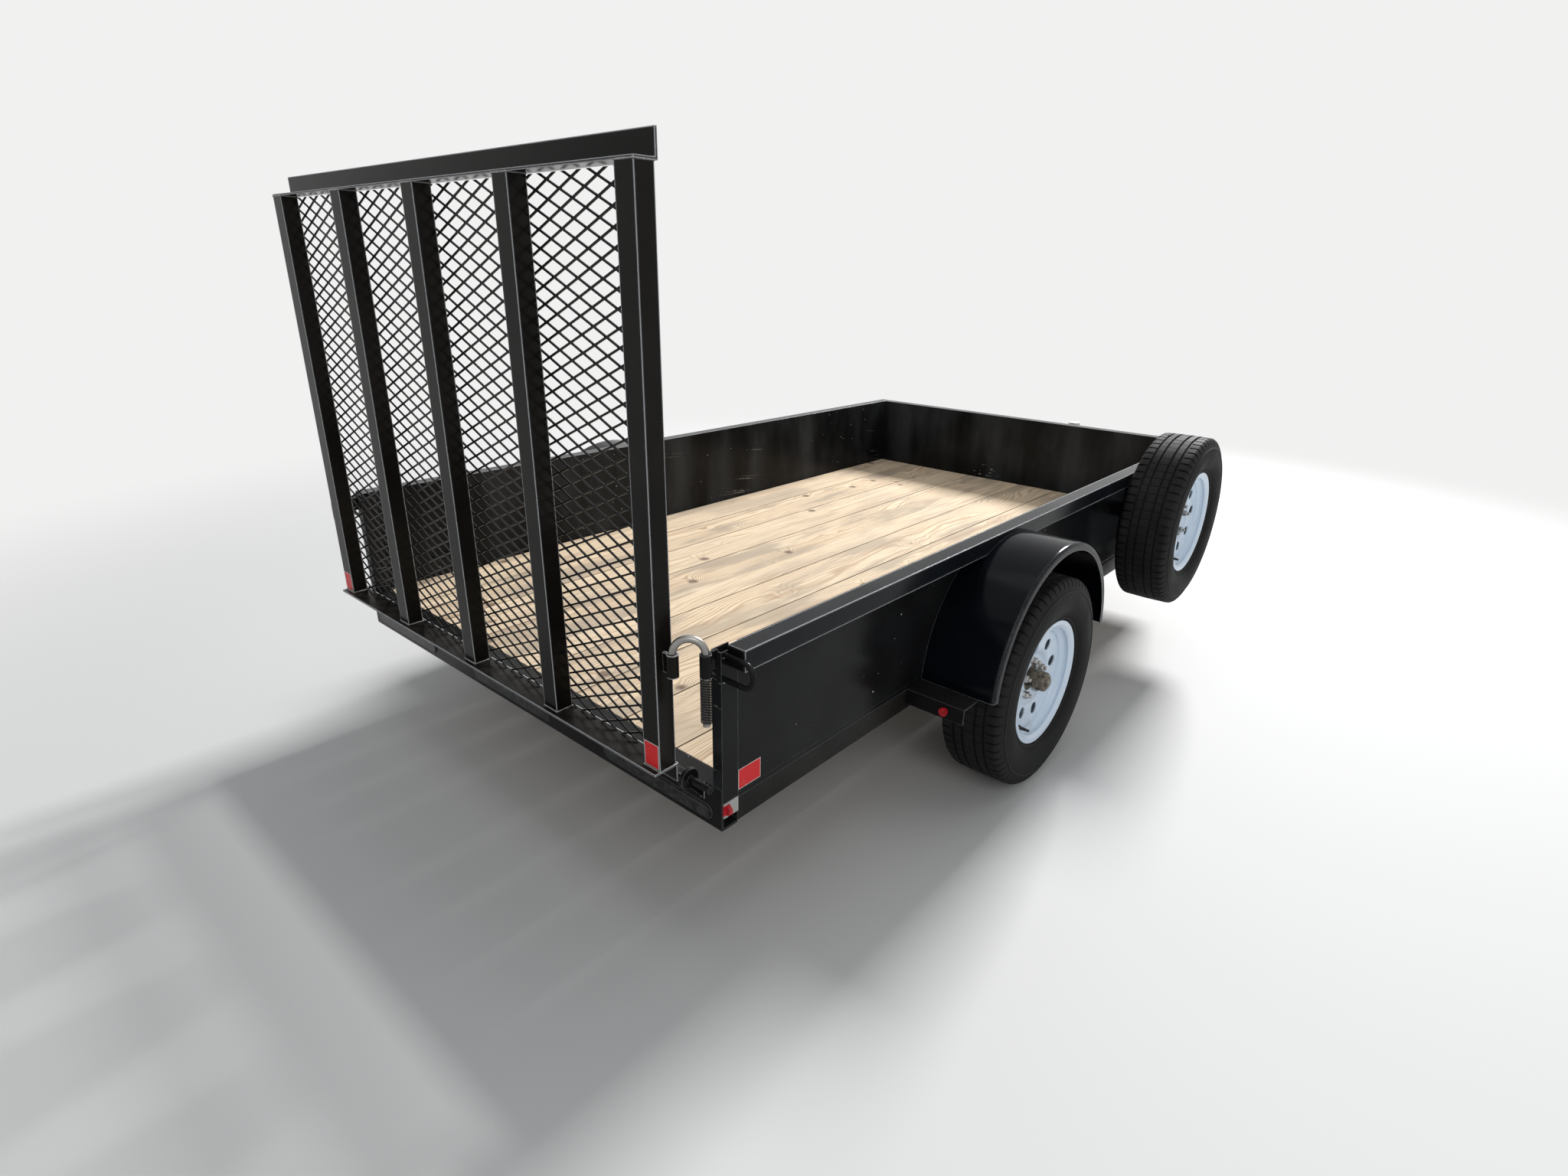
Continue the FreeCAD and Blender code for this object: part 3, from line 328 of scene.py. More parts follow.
def dried_specks():
    tree, given, result = new_group("dried_specks", [("Vector", "Vector", None), ("Spacing", "Float", 40.0),
                                                     ("Amount", "Float", 0.3)], [("Specks", "Float")])
    cells = wire(tree, "ShaderNodeTexVoronoi", {"Vector": given["Vector"], "Scale": given["Spacing"]}).outputs
    chance = rise(tree, parts_of(tree, cells["Color"])[0], maths(tree, "SUBTRACT", 1.0, given["Amount"]), 1.2)
    size = times(tree, chance, 0.16)
    tree.links.new(rise(tree, maths(tree, "SUBTRACT", size, cells["Distance"]), 0.0, 0.03), result["Specks"])


SCRATCH_TILT = 0.11
SCRATCH_GRAIN = (1.7, 30.0, 130.0)


def long_scratches():
    """Thin marks that run along the bed, a little tilted, where cargo has rubbed."""
    tree, given, result = new_group("long_scratches", [("Vector", "Vector", None), ("Amount", "Float", 0.3)],
                                    [("Scratches", "Float")])
    x, y, z = parts_of(tree, given["Vector"])
    tilted = wired(tree, "ShaderNodeCombineXYZ", {0: x, 1: y, 2: spread(tree, x, SCRATCH_TILT, z)})
    lines = rise(tree, noise(tree, scaled(tree, tilted, SCRATCH_GRAIN), 1.0, 1.0), 0.66, 0.72)
    places = rise(tree, noise(tree, given["Vector"], 2.3, 2.0), 0.53, 0.66)
    broken = rise(tree, noise(tree, given["Vector"], 90.0, 3.0), 0.35, 0.6)
    share = times(tree, times(tree, lines, places), broken)
    tree.links.new(times(tree, share, given["Amount"]), result["Scratches"])


def edge_shine():
    tree, given, result = new_group("edge_shine", [("Vector", "Vector", None), ("Width", "Float", 0.003)],
                                    [("Edge", "Float"), ("Wear", "Float"), ("Normal", "Vector")])
    rounded = wire(tree, "ShaderNodeBevel", {"Radius": given["Width"]}, samples=4).outputs["Normal"]
    flat = tree.nodes.new("ShaderNodeNewGeometry").outputs["Normal"]
    same = wire(tree, "ShaderNodeVectorMath", {0: rounded, 1: flat}, operation="DOT_PRODUCT").outputs["Value"]
    edge = rise(tree, maths(tree, "SUBTRACT", 1.0, same), 0.01, 0.14)
    worn = rise(tree, noise(tree, given["Vector"], 30.0, 6.0), 0.45, 0.7)
    tree.links.new(edge, result["Edge"])
    tree.links.new(times(tree, edge, worn), result["Wear"])
    tree.links.new(rounded, result["Normal"])


settled_dust()
dried_specks()
long_scratches()
edge_shine()
print("groups", [group.name for group in bpy.data.node_groups])

# %% [markdown]
# Most of the trailer is gloss black enamel sprayed over mill steel. The paint is never one even
# colour: dust lies on it, dried drops speckle it, and on corners the coat is worn thin. A painted
# highlight, a pale colour along the rounded corners, stands in for the light that they catch. Cargo
# scratches the walls inside. One function makes every black finish, each with its own amounts.

# %% Black enamel
DUST_COLOUR = (0.34, 0.31, 0.27, 1.0)
SPECK_COLOUR = (0.55, 0.54, 0.52, 1.0)
# The film's colour is partly dried wash water and partly painted light that lifts the inner faces.
WASH_FILM_AND_PAINTED_LIGHT_COLOUR = (0.24, 0.26, 0.28, 1.0)
SPECKS_PER_METRE = 45.0
PAINT_SHEEN = 0.09
MATT, WET = 0.40, 0.13
PEEL_HEIGHT = 0.012 * MM
WORN_COLOUR = (0.20, 0.20, 0.20, 1.0)
PAINTED_HIGHLIGHT_COLOUR = (0.80, 0.82, 0.84, 1.0)


def black_enamel(name, colour, gloss, dust, specks, edge_width=3.0 * MM, corner_highlight=0.12, scratches=0.0, film=0.0):
    """gloss runs from 0, matt, to 1, wet. The argument after the edge width is the share of a painted
    highlight, a pale colour laid along rounded corners. Scratches and film lie on the faces that look
    into the bed; the film is pale mottling, painted partly as dried wash water and partly as painted
    light that lifts those inner faces."""
    finish, tree, shader, place, facing = new_finish(name)
    dusty = use_group(tree, "settled_dust", Vector=place, Normal=facing, Amount=dust)["Dust"]
    dotted = use_group(tree, "dried_specks", Vector=place, Spacing=SPECKS_PER_METRE, Amount=specks)["Specks"]
    edges = use_group(tree, "edge_shine", Vector=place, Width=edge_width)
    base = colours(tree, rise(tree, noise(tree, place, 7.0, 6.0), 0.3, 0.75), colour,
                   tuple(channel * 1.9 for channel in colour[:3]) + (1.0,))
    base = colours(tree, times(tree, edges["Wear"], 0.3), base, WORN_COLOUR)
    # Painted highlight: a pale colour along rounded corners stands in for the light that they catch.
    base = colours(tree, times(tree, edges["Edge"], corner_highlight), base, PAINTED_HIGHLIGHT_COLOUR)
    base = colours(tree, dusty, base, DUST_COLOUR)
    if film:
        x, y, _ = parts_of(tree, place)
        inside = maths(tree, "LESS_THAN", maths(tree, "ABSOLUTE", y), WALL_IN + MM)
        inside = times(tree, inside, maths(tree, "LESS_THAN", x, WALL_FRONT + MM))
        # Pale film on the faces inside the bed: partly dried wash water, partly painted light falling across
        # them.
        film_and_light_patches = rise(tree, noise(tree, scaled(tree, place, (5.0, 5.0, 1.6)), 1.0, 8.0), 0.35, 0.8)
        base = colours(tree, times(tree, film_and_light_patches, times(tree, inside, film)), base, WASH_FILM_AND_PAINTED_LIGHT_COLOUR)
        amount = times(tree, inside, scratches)
        rubbed = use_group(tree, "long_scratches", Vector=place, Amount=amount)["Scratches"]
        base = colours(tree, rubbed, base, SPECK_COLOUR)
    base = colours(tree, dotted, base, SPECK_COLOUR)
    smears = noise(tree, scaled(tree, place, (1.0, 2.0, 2.0)), 5.0, 5.0)
    rough = spread(tree, dusty, 0.5, MATT - (MATT - WET) * gloss)
    rough = spread(tree, rise(tree, smears, 0.4, 0.8), 0.06, rough)
    orange_peel = noise(tree, place, 300.0, 2.0)
    join_to(tree, shader, Base_Color=base, Roughness=rough, Specular_IOR_Level=PAINT_SHEEN,
            Normal=bump(tree, orange_peel, PEEL_HEIGHT, 0.5, edges["Normal"]))
    return finish


FRAME_BLACK = black_enamel("frame_black", (0.0030, 0.0032, 0.0038, 1.0), 0.85, 0.07, 0.14)
WALL_BLACK = black_enamel("wall_black", (0.0042, 0.0046, 0.0052, 1.0), 0.80, 0.04, 0.40,
                          scratches=0.60, film=0.15)
RAIL_BLACK = black_enamel("rail_black", (0.0030, 0.0042, 0.0060, 1.0), 0.90, 0.08, 0.10, 5.0 * MM, 1.0)
FENDER_BLACK = black_enamel("fender_black", (0.0012, 0.0018, 0.0032, 1.0), 0.95, 0.012, 0.05, 2.5 * MM, 0.8)
GATE_BLACK = black_enamel("gate_black", (0.0050, 0.0044, 0.0038, 1.0), 0.75, 0.05, 0.08, 4.0 * MM, 1.0)
MESH_BLACK = black_enamel("mesh_black", (0.0060, 0.0056, 0.0056, 1.0), 0.75, 0.05, 0.0, 0.8 * MM)
UNDER_BLACK = black_enamel("under_black", (0.0050, 0.0048, 0.0046, 1.0), 0.55, 0.20, 0.25)
print("black finishes made")

# %% [markdown]
# The deck is treated pine. Flat sawn boards show long arches, because the saw cuts across the rings
# at a shallow angle. So each board measures its distance from its own pith line, bends that line
# with noise, and draws a dark ring every few millimetres. Knots are round spots that the rings bend
# about, and fine fibres run along the board.

# %% Pine boards
BOARD_PITCH = 195.0 * MM
BOARDS_EACH_SIDE = 4
BOARD_FIBRES = (6.0, 300.0, 300.0)
BOARD_SHIFT = (7.31, 0.137)
OTHER_SIDE = 17.3
KNOTS_PER_METRE = 6.5
KNOT_CHANCE = 0.55
PITH_DEPTH = 0.04
RING_WAVES = 640.0
PALE_PINE = (0.72, 0.58, 0.41, 1.0)
LATE_PINE = (0.34, 0.21, 0.11, 1.0)
KNOT_BROWN = (0.10, 0.05, 0.03, 1.0)
WEATHERED = (0.38, 0.31, 0.23, 1.0)


def board_number(tree, across, edge):
    """A whole number for each board, counted from both sides; the ripped middle board is one."""
    count = maths(tree, "FLOOR", maths(
        tree, "DIVIDE", maths(tree, "SUBTRACT", edge, maths(tree, "ABSOLUTE", across)), BOARD_PITCH))
    is_full = maths(tree, "LESS_THAN", count, BOARDS_EACH_SIDE - 0.5)
    side = times(tree, maths(tree, "SIGN", across), is_full)
    return spread(tree, side, OTHER_SIDE, count)


def board_grain():
    shares = ("Rings", "Knots", "Fibres", "Shade", "Streaks")
    tree, given, result = new_group("board_grain", [("Vector", "Vector", None), ("Board", "Float", 0.0)],
                                    [(share, "Float") for share in shares])
    x, y, z = parts_of(tree, given["Vector"])
    along, across = (spread(tree, given["Board"], shift, value) for shift, value in zip(BOARD_SHIFT, (x, y)))
    own = wired(tree, "ShaderNodeCombineXYZ", {0: along, 1: across, 2: z})
    cells = wire(tree, "ShaderNodeTexVoronoi", {"Vector": own, "Scale": KNOTS_PER_METRE}).outputs
    chosen = maths(tree, "GREATER_THAN", parts_of(tree, cells["Color"])[0], 1.0 - KNOT_CHANCE)
    near_knot = times(tree, rise(tree, cells["Distance"], 0.42, 0.0), chosen)
    ragged = maths(tree, "SUBTRACT", cells["Distance"], 0.05)
    ragged = spread(tree, noise(tree, own, 70.0, 3.0), 0.10, ragged)
    spot = times(tree, rise(tree, ragged, 0.17, 0.07), chosen)
    wander = noise(tree, scaled(tree, own, (0.9, 3.0, 3.0)), 1.0, 2.0)
    wobble = noise(tree, scaled(tree, own, (5.0, 14.0, 14.0)), 1.0, 3.0)
    pith = spread(tree, wander, 0.34, -0.17)
    pith = spread(tree, near_knot, 0.05, pith)
    across = maths(tree, "ADD", maths(tree, "WRAP", y, BOARD_PITCH / 2, -BOARD_PITCH / 2), pith)
    ring_distance = maths(tree, "SQRT", spread(tree, across, across, PITH_DEPTH ** 2))
    ring_distance = spread(tree, wobble, 0.012, ring_distance)
    wave = maths(tree, "SINE", times(tree, ring_distance, RING_WAVES))
    fibres = noise(tree, scaled(tree, own, BOARD_FIBRES), 1.0, 3.0)
    blotches = noise(tree, scaled(tree, own, (2.2, 9.0, 1.0)), 1.0, 5.0)
    streaks = noise(tree, scaled(tree, own, (1.3, 75.0, 75.0)), 1.0, 4.0)
    values = (rise(tree, wave, -0.2, 1.0), spot, fibres, blotches, rise(tree, streaks, 0.52, 0.72))
    for share, value in zip(shares, values):
        tree.links.new(value, result[share])


def pine_boards():
    finish, tree, shader, place, facing = new_finish("pine_boards")
    board = board_number(tree, parts_of(tree, place)[1], high("deck_boards").y)
    grain = use_group(tree, "board_grain", Vector=place, Board=board)
    chance = wire(tree, "ShaderNodeTexWhiteNoise", {"W": board}, noise_dimensions="1D").outputs["Value"]
    ring_share = times(tree, grain["Rings"], spread(tree, chance, 0.4, 0.35))
    base = colours(tree, ring_share, PALE_PINE, LATE_PINE)
    base = colours(tree, times(tree, spread(tree, chance, 0.5, 0.5),
                               rise(tree, grain["Shade"], 0.45, 0.62)), base, WEATHERED)
    base = colours(tree, times(tree, rise(tree, grain["Fibres"], 0.48, 0.72), 0.45), base, LATE_PINE)
    base = colours(tree, times(tree, grain["Streaks"], 0.5), base, LATE_PINE)
    base = colours(tree, times(tree, grain["Knots"], 0.85), base, KNOT_BROWN)
    dusty = use_group(tree, "settled_dust", Vector=place, Normal=facing, Amount=0.25)["Dust"]
    base = colours(tree, dusty, base, DUST_COLOUR)
    edges = use_group(tree, "edge_shine", Vector=place, Width=3.5 * MM)
    height = spread(tree, grain["Rings"], 0.4, times(tree, grain["Fibres"], 0.6))
    join_to(tree, shader, Base_Color=base, Roughness=spread(tree, grain["Rings"], -0.1, 0.78),
            Specular_IOR_Level=0.3, Normal=bump(tree, height, 0.6 * MM, 0.7, edges["Normal"]))
    return finish


board_grain()
PINE = pine_boards()
print("pine with boards", BOARD_PITCH, "apart")

# %% [markdown]
# The wheels are white enamel, coloured here a darker blue grey: painted shade, as white looks when lit
# only by the sky. The hubs are greasy cast iron with steel nuts, and the latch rods, the jack and the
# clamps are zinc plate. Bare metal is metallic and needs soft streaks to look like metal.

# %% Wheels and bare metal
NUT_RADIUS = 44.0 * MM
# Painted shade: white enamel darkened and tinted blue, as it looks out of the sun.
WHEEL_WHITE_IN_PAINTED_SHADE = (0.62, 0.73, 0.85, 1.0)
WHEEL_DIRT = (0.30, 0.25, 0.19, 1.0)
SMEAR_COLOUR = (0.25, 0.22, 0.19, 1.0)


def wheel_white():
    finish, tree, shader, place, _ = new_finish("wheel_white")
    dirt = rise(tree, noise(tree, place, 14.0, 8.0), 0.56, 0.86)
    dotted = use_group(tree, "dried_specks", Vector=place, Spacing=90.0, Amount=0.22)["Specks"]
    base = colours(tree, times(tree, dirt, 0.35), WHEEL_WHITE_IN_PAINTED_SHADE, WHEEL_DIRT)
    base = colours(tree, times(tree, dotted, 0.5), base, WHEEL_DIRT)
    edges = use_group(tree, "edge_shine", Vector=place, Width=2.0 * MM)
    join_to(tree, shader, Base_Color=base, Roughness=spread(tree, dirt, 0.35, 0.24),
            Normal=edges["Normal"])
    return finish


def hub_metal():
    finish, tree, shader, place, _ = new_finish("hub_metal")
    x, _, z = parts_of(tree, place)
    x = maths(tree, "SUBTRACT", x, AXLE_X)
    z = maths(tree, "SUBTRACT", z, AXLE_Z)
    radius = maths(tree, "SQRT", maths(tree, "ADD", times(tree, x, x), times(tree, z, z)))
    steel = rise(tree, radius, NUT_RADIUS - MM, NUT_RADIUS + MM)
    grime = rise(tree, noise(tree, place, 60.0, 8.0), 0.35, 0.7)
    cast = colours(tree, grime, (0.17, 0.14, 0.10, 1.0), (0.03, 0.025, 0.02, 1.0))
    plated = colours(tree, times(tree, grime, 0.6), (0.58, 0.57, 0.55, 1.0), (0.20, 0.16, 0.12, 1.0))
    edges = use_group(tree, "edge_shine", Vector=place, Width=1.2 * MM)
    metallic = spread(tree, steel, 0.6, 0.35)
    join_to(tree, shader, Base_Color=colours(tree, steel, cast, plated), Metallic=metallic,
            Roughness=spread(tree, grime, 0.3, 0.3),
            Normal=bump(tree, grime, 0.4 * MM, 0.6, edges["Normal"]))
    return finish


def zinc_steel(name, colour, roughness):
    finish, tree, shader, place, _ = new_finish(name)
    spangle = wire(tree, "ShaderNodeTexVoronoi", {"Vector": place, "Scale": 120.0}).outputs["Color"]
    patch = parts_of(tree, spangle)[0]
    smear = rise(tree, noise(tree, place, 18.0, 8.0), 0.45, 0.8)
    darker = tuple(channel * 0.62 for channel in colour[:3]) + (1.0,)
    base = colours(tree, times(tree, patch, 0.4), colour, darker)
    base = colours(tree, times(tree, smear, 0.5), base, SMEAR_COLOUR)
    edges = use_group(tree, "edge_shine", Vector=place, Width=1.5 * MM)
    rough = spread(tree, patch, 0.12, spread(tree, smear, 0.2, roughness))
    join_to(tree, shader, Base_Color=base, Metallic=0.9, Roughness=rough, Normal=edges["Normal"])
    return finish


WHEEL_WHITE = wheel_white()
HUB_METAL = hub_metal()
ZINC = zinc_steel("zinc_steel", (0.40, 0.40, 0.395, 1.0), 0.30)
BARE_ROD = zinc_steel("bare_rod", (0.30, 0.295, 0.28, 1.0), 0.25)
SPRING_STEEL = zinc_steel("spring_steel", (0.045, 0.045, 0.043, 1.0), 0.24)
WELD = zinc_steel("weld_bead", (0.30, 0.30, 0.30, 1.0), 0.30)
print("metal finishes made")

# %% [markdown]
# The lamps have moulded lenses: fine ribs inside a clear skin. Here the ribs are a bump and the skin
# is the shader's coat. The tail lamp bars look marbled grey when they are off; the marbling is a
# painted reflection of the surroundings in their clear lenses. The side markers are red, and the rear
# ones sit on a small bright plate, which the finish finds by its place.

# %% Lamps and reflectors
PLATE_END = RAIL_REAR + 60.0 * MM
PLATE_CLEAR = 13.0 * MM
PLATE_BACK = RAIL_REAR - 11.5 * MM
LENS_RIBS = (260.0, 330.0)
MARKER_RIBS = 500.0
TAPE_CELLS = 330.0
LENS_MIDDLE = Vector((RAIL_REAR - 2.0 * MM, 0.0, (low("marker_lamps").z + high("marker_lamps").z) / 2))


def ribs(tree, value, per_metre):
    return maths(tree, "SINE", times(tree, value, 2 * math.pi * per_metre))


def lamp_lens():
    finish, tree, shader, place, _ = new_finish("lamp_lens")
    warp = wire(tree, "ShaderNodeTexNoise", {"Vector": place, "Scale": 22.0, "Detail": 3.0}).outputs["Color"]
    bent = wired(tree, "ShaderNodeVectorMath", {0: place, 1: scaled(tree, warp, (0.05, 0.05, 0.05))},
                 operation="ADD")
    # Painted reflection: the grey marbling stands in for what the clear lens mirrors.
    painted_reflection_marble = rise(tree, noise(tree, scaled(tree, bent, (1.0, 1.0, 2.0)), 38.0, 5.0), 0.38, 0.62)
    base = colours(tree, painted_reflection_marble, (0.004, 0.004, 0.005, 1.0), (0.030, 0.030, 0.031, 1.0))
    _, y, z = parts_of(tree, place)
    moulded = maths(tree, "ADD", ribs(tree, y, LENS_RIBS[0]), ribs(tree, z, LENS_RIBS[1]))
    join_to(tree, shader, Base_Color=base, Roughness=0.25, Specular_IOR_Level=0.15, Coat_Weight=0.1,
            Normal=bump(tree, moulded, 0.25 * MM, 0.5))
    return finish


def red_lens():
    finish, tree, shader, place, _ = new_finish("red_lens")
    x, _, z = parts_of(tree, place)
    behind = maths(tree, "GREATER_THAN", x, PLATE_BACK)
    high_up = maths(tree, "ABSOLUTE", maths(tree, "SUBTRACT", z, LENS_MIDDLE.z))
    off_lens = maths(tree, "MAXIMUM", maths(tree, "GREATER_THAN", high_up, PLATE_CLEAR),
                     maths(tree, "GREATER_THAN", x, RAIL_REAR))
    on_plate = maths(tree, "MAXIMUM", behind, off_lens)
    on_plate = times(tree, on_plate, maths(tree, "LESS_THAN", x, PLATE_END))
    on_plate = times(tree, on_plate, off_lens)
    glow = rise(tree, noise(tree, place, 160.0, 3.0), 0.35, 0.7)
    red = colours(tree, glow, (0.30, 0.006, 0.012, 1.0), (0.62, 0.02, 0.03, 1.0))
    base = colours(tree, on_plate, red, (0.45, 0.45, 0.44, 1.0))
    join_to(tree, shader, Base_Color=base, Metallic=times(tree, on_plate, 0.8), Roughness=0.22,
            Specular_IOR_Level=0.4, Normal=bump(tree, ribs(tree, z, MARKER_RIBS), 0.2 * MM, 0.5))
    return finish


def red_tape():
    """Retroreflective tape: small cells under a clear red film."""
    finish, tree, shader, place, _ = new_finish("red_tape")
    cells = wire(tree, "ShaderNodeTexVoronoi", {"Vector": place, "Scale": TAPE_CELLS},
                 feature="DISTANCE_TO_EDGE")
    wall = rise(tree, cells.outputs["Distance"], 0.10, 0.03)
    base = colours(tree, wall, (0.74, 0.018, 0.022, 1.0), (0.50, 0.012, 0.015, 1.0))
    scuff = rise(tree, noise(tree, place, 55.0, 6.0), 0.58, 0.8)
    base = colours(tree, times(tree, scuff, 0.3), base, DUST_COLOUR)
    join_to(tree, shader, Base_Color=base, Roughness=0.4, Specular_IOR_Level=0.25,
            Normal=bump(tree, wall, 0.1 * MM, 0.4))
    return finish


def plain_finish(name, colour, roughness, scale=120.0):
    """A small piece's finish: one colour with mottling and a fine grain."""
    finish, tree, shader, place, _ = new_finish(name)
    mottle = rise(tree, noise(tree, place, scale, 5.0), 0.35, 0.75)
    darker = tuple(channel * 0.7 for channel in colour[:3]) + (1.0,)
    join_to(tree, shader, Base_Color=colours(tree, mottle, colour, darker),
            Roughness=spread(tree, mottle, 0.12, roughness),
            Normal=bump(tree, mottle, 0.05 * MM, 0.5))
    return finish


LAMP_LENS = lamp_lens()
RED_LENS = red_lens()
RED_TAPE = red_tape()
TAPE_EDGE = plain_finish("tape_edge", (0.72, 0.70, 0.68, 1.0), 0.4)
BLACK_RUBBER = plain_finish("black_rubber", (0.018, 0.018, 0.018, 1.0), 0.55)
print("lamp and reflector finishes made")

# %% [markdown]
# Tyre rubber is nearly black where it is clean and grey brown where dust sits. The tread is paler than
# the side. The mesh says which is which: it carries a number from 0 on the side to 1 on the tread.

# %% Tyre rubber
def tyre_rubber():
    finish, tree, shader, place, _ = new_finish("tyre_rubber")
    tread = wire(tree, "ShaderNodeAttribute", {}, attribute_name="tread_share").outputs["Fac"]
    clouds = rise(tree, noise(tree, place, 9.0, 7.0), 0.35, 0.75)
    grains = rise(tree, noise(tree, place, 420.0, 2.0), 0.4, 0.7)
    share = times(tree, spread(tree, tread, 0.06, 0.05),
                  spread(tree, clouds, 0.7, 0.3))
    share = times(tree, share, spread(tree, grains, 0.5, 0.5))
    base = colours(tree, share, (0.0055, 0.0058, 0.0065, 1.0), (0.22, 0.21, 0.19, 1.0))
    edges = use_group(tree, "edge_shine", Vector=place, Width=1.2 * MM)
    join_to(tree, shader, Base_Color=base, Roughness=spread(tree, clouds, 0.15, 0.62),
            Specular_IOR_Level=0.12, Normal=bump(tree, grains, 0.15 * MM, 0.5, edges["Normal"]))
    return finish


RUBBER = tyre_rubber()
print("rubber ready")

# %% [markdown]
# Each part of the frame now gets its finish. A table pairs each finish with the nodes that wear it,
# and a last line proves that no node was forgotten.

# %% Dress the frame
FINISH_OF = [
    (WALL_BLACK, ("side_walls", "front_wall", "corner_posts")),
    (RAIL_BLACK, ("side_rails", "front_rail_tube")),
    (FENDER_BLACK, ("fenders",)),
    (GATE_BLACK, ("gate_posts", "gate_top_angle", "gate_bottom_angle", "gate_sleeves", "gate_knuckles")),
    (FRAME_BLACK, ("rear_channel", "hinge_lugs", "post_sleeves", "corner_loops", "tie_loops",
                   "fender_brackets", "spare_carrier", "tongue_left", "tongue_right", "coupler")),
    (UNDER_BLACK, ("frame_rails", "front_channel", "crossmembers", "axle", "leaf_springs", "spring_hangers")),
    (MESH_BLACK, ("gate_mesh",)),
    (PINE, ("deck_boards",)),
    (WHEEL_WHITE, ("rim_left", "rim_right", "spare_rim")),
    (HUB_METAL, ("hub_left", "hub_right")),
    (RUBBER, ("tyre_left", "tyre_right", "spare_tyre")),
    (ZINC, ("axle_clamps", "coupler_latch", "jack_tube", "jack_leg", "jack_crank")),
    (BARE_ROD, ("latch_rods",)),
    (SPRING_STEEL, ("latch_springs",)),
    (LAMP_LENS, ("lamp_bars",)),
    (RED_LENS, ("marker_lamps",)),
]


def dress(node, finish):
    piece = frame["nodes"][node]
    if not piece.material_slots:
        piece.data.materials.append(finish)
    for slot in piece.material_slots:
        slot.material = finish


for finish, wearers in FINISH_OF:
    for wearer in wearers:
        dress(wearer, finish)
print("not dressed:", sorted(set(frame["nodes"]) - {name for _, names in FINISH_OF for name in names}))

# %% [markdown]
# Geometry Nodes make what repeats. A tree is built in the script with named inputs, run on a carrier
# object, and its result becomes a plain mesh. Two helpers do this for every tree below.

# %% Helpers for Geometry Nodes
def new_tree(name, inputs):
    """A tree with a geometry and other named inputs; returns the tree and both its ends."""
    tree = bpy.data.node_groups.new(name, "GeometryNodeTree")
    for label, kind in [("Geometry", "Geometry")] + inputs:
        tree.interface.new_socket(label, in_out="INPUT", socket_type="NodeSocket" + kind)
    tree.interface.new_socket("Geometry", in_out="OUTPUT", socket_type="NodeSocketGeometry")
    return tree, tree.nodes.new("NodeGroupInput").outputs, tree.nodes.new("NodeGroupOutput").inputs


def finish_tree(tree, geometry, given, result):
    """Make instances real and give them their finish, as every tree has to end."""
    real = wired(tree, "GeometryNodeRealizeInstances", {0: geometry})
    coated = wired(tree, "GeometryNodeSetMaterial", {"Geometry": real, "Material": given["Finish"]})
    tree.links.new(coated, result["Geometry"])


def grown(name, tree, carried=None, **values):
    """The mesh that the tree makes from the mesh that it is given."""
    carrier = bpy.data.objects.new(name + "_carrier", carried or bpy.data.meshes.new(name + "_start"))
    bpy.context.scene.collection.objects.link(carrier)
    modifier = carrier.modifiers.new("tree", "NODES")
    modifier.node_group = tree
    for item in tree.interface.items_tree:
        key = item.name.replace(" ", "_").lower()
        if item.in_out == "INPUT" and key in values:
            modifier[item.identifier] = values[key]
    bpy.context.view_layer.update()
    graph = bpy.context.evaluated_depsgraph_get()
    mesh = bpy.data.meshes.new_from_object(carrier.evaluated_get(graph))
    mesh.name = name
    bpy.data.objects.remove(carrier)
    return mesh


def add_piece(name, mesh, body, finish=None, replaces=None):
    """Put a finished mesh into the scene, on its body."""
    if finish:
        mesh.materials.clear()
        mesh.materials.append(finish)
    piece = bpy.data.objects.new(name, mesh)
    bpy.context.scene.collection.objects.link(piece)
    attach(piece, body)
    if replaces:
        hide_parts(replaces)
    print(name, len(mesh.polygons), "faces on", body)
    return piece


print("geometry helpers ready")

# %% [markdown]
# The gate is covered with flattened expanded metal. Each bond joins four strands, so one cell is a
# bond with the two strands above it, and two staggered grids of cells make the sheet. The sheet is
# cut to size afterwards, as the real one is.

# %% Expanded metal
MESH_LONG = 76.2 * MM
MESH_SHORT = 33.87 * MM
STRAND_WIDTH = 4.2 * MM
BOND_LENGTH = 13.0 * MM
BOND_HEIGHT = 6.0 * MM
SHEET_INSET = 14.0 * MM


def box_node(tree, size, place, turn=0.0):
    cube = wire(tree, "GeometryNodeMeshCube", {"Size": size}).outputs["Mesh"]
    return wired(tree, "GeometryNodeTransform", {"Geometry": cube, "Translation": place,
                                                 "Rotation": (0.0, 0.0, turn)})


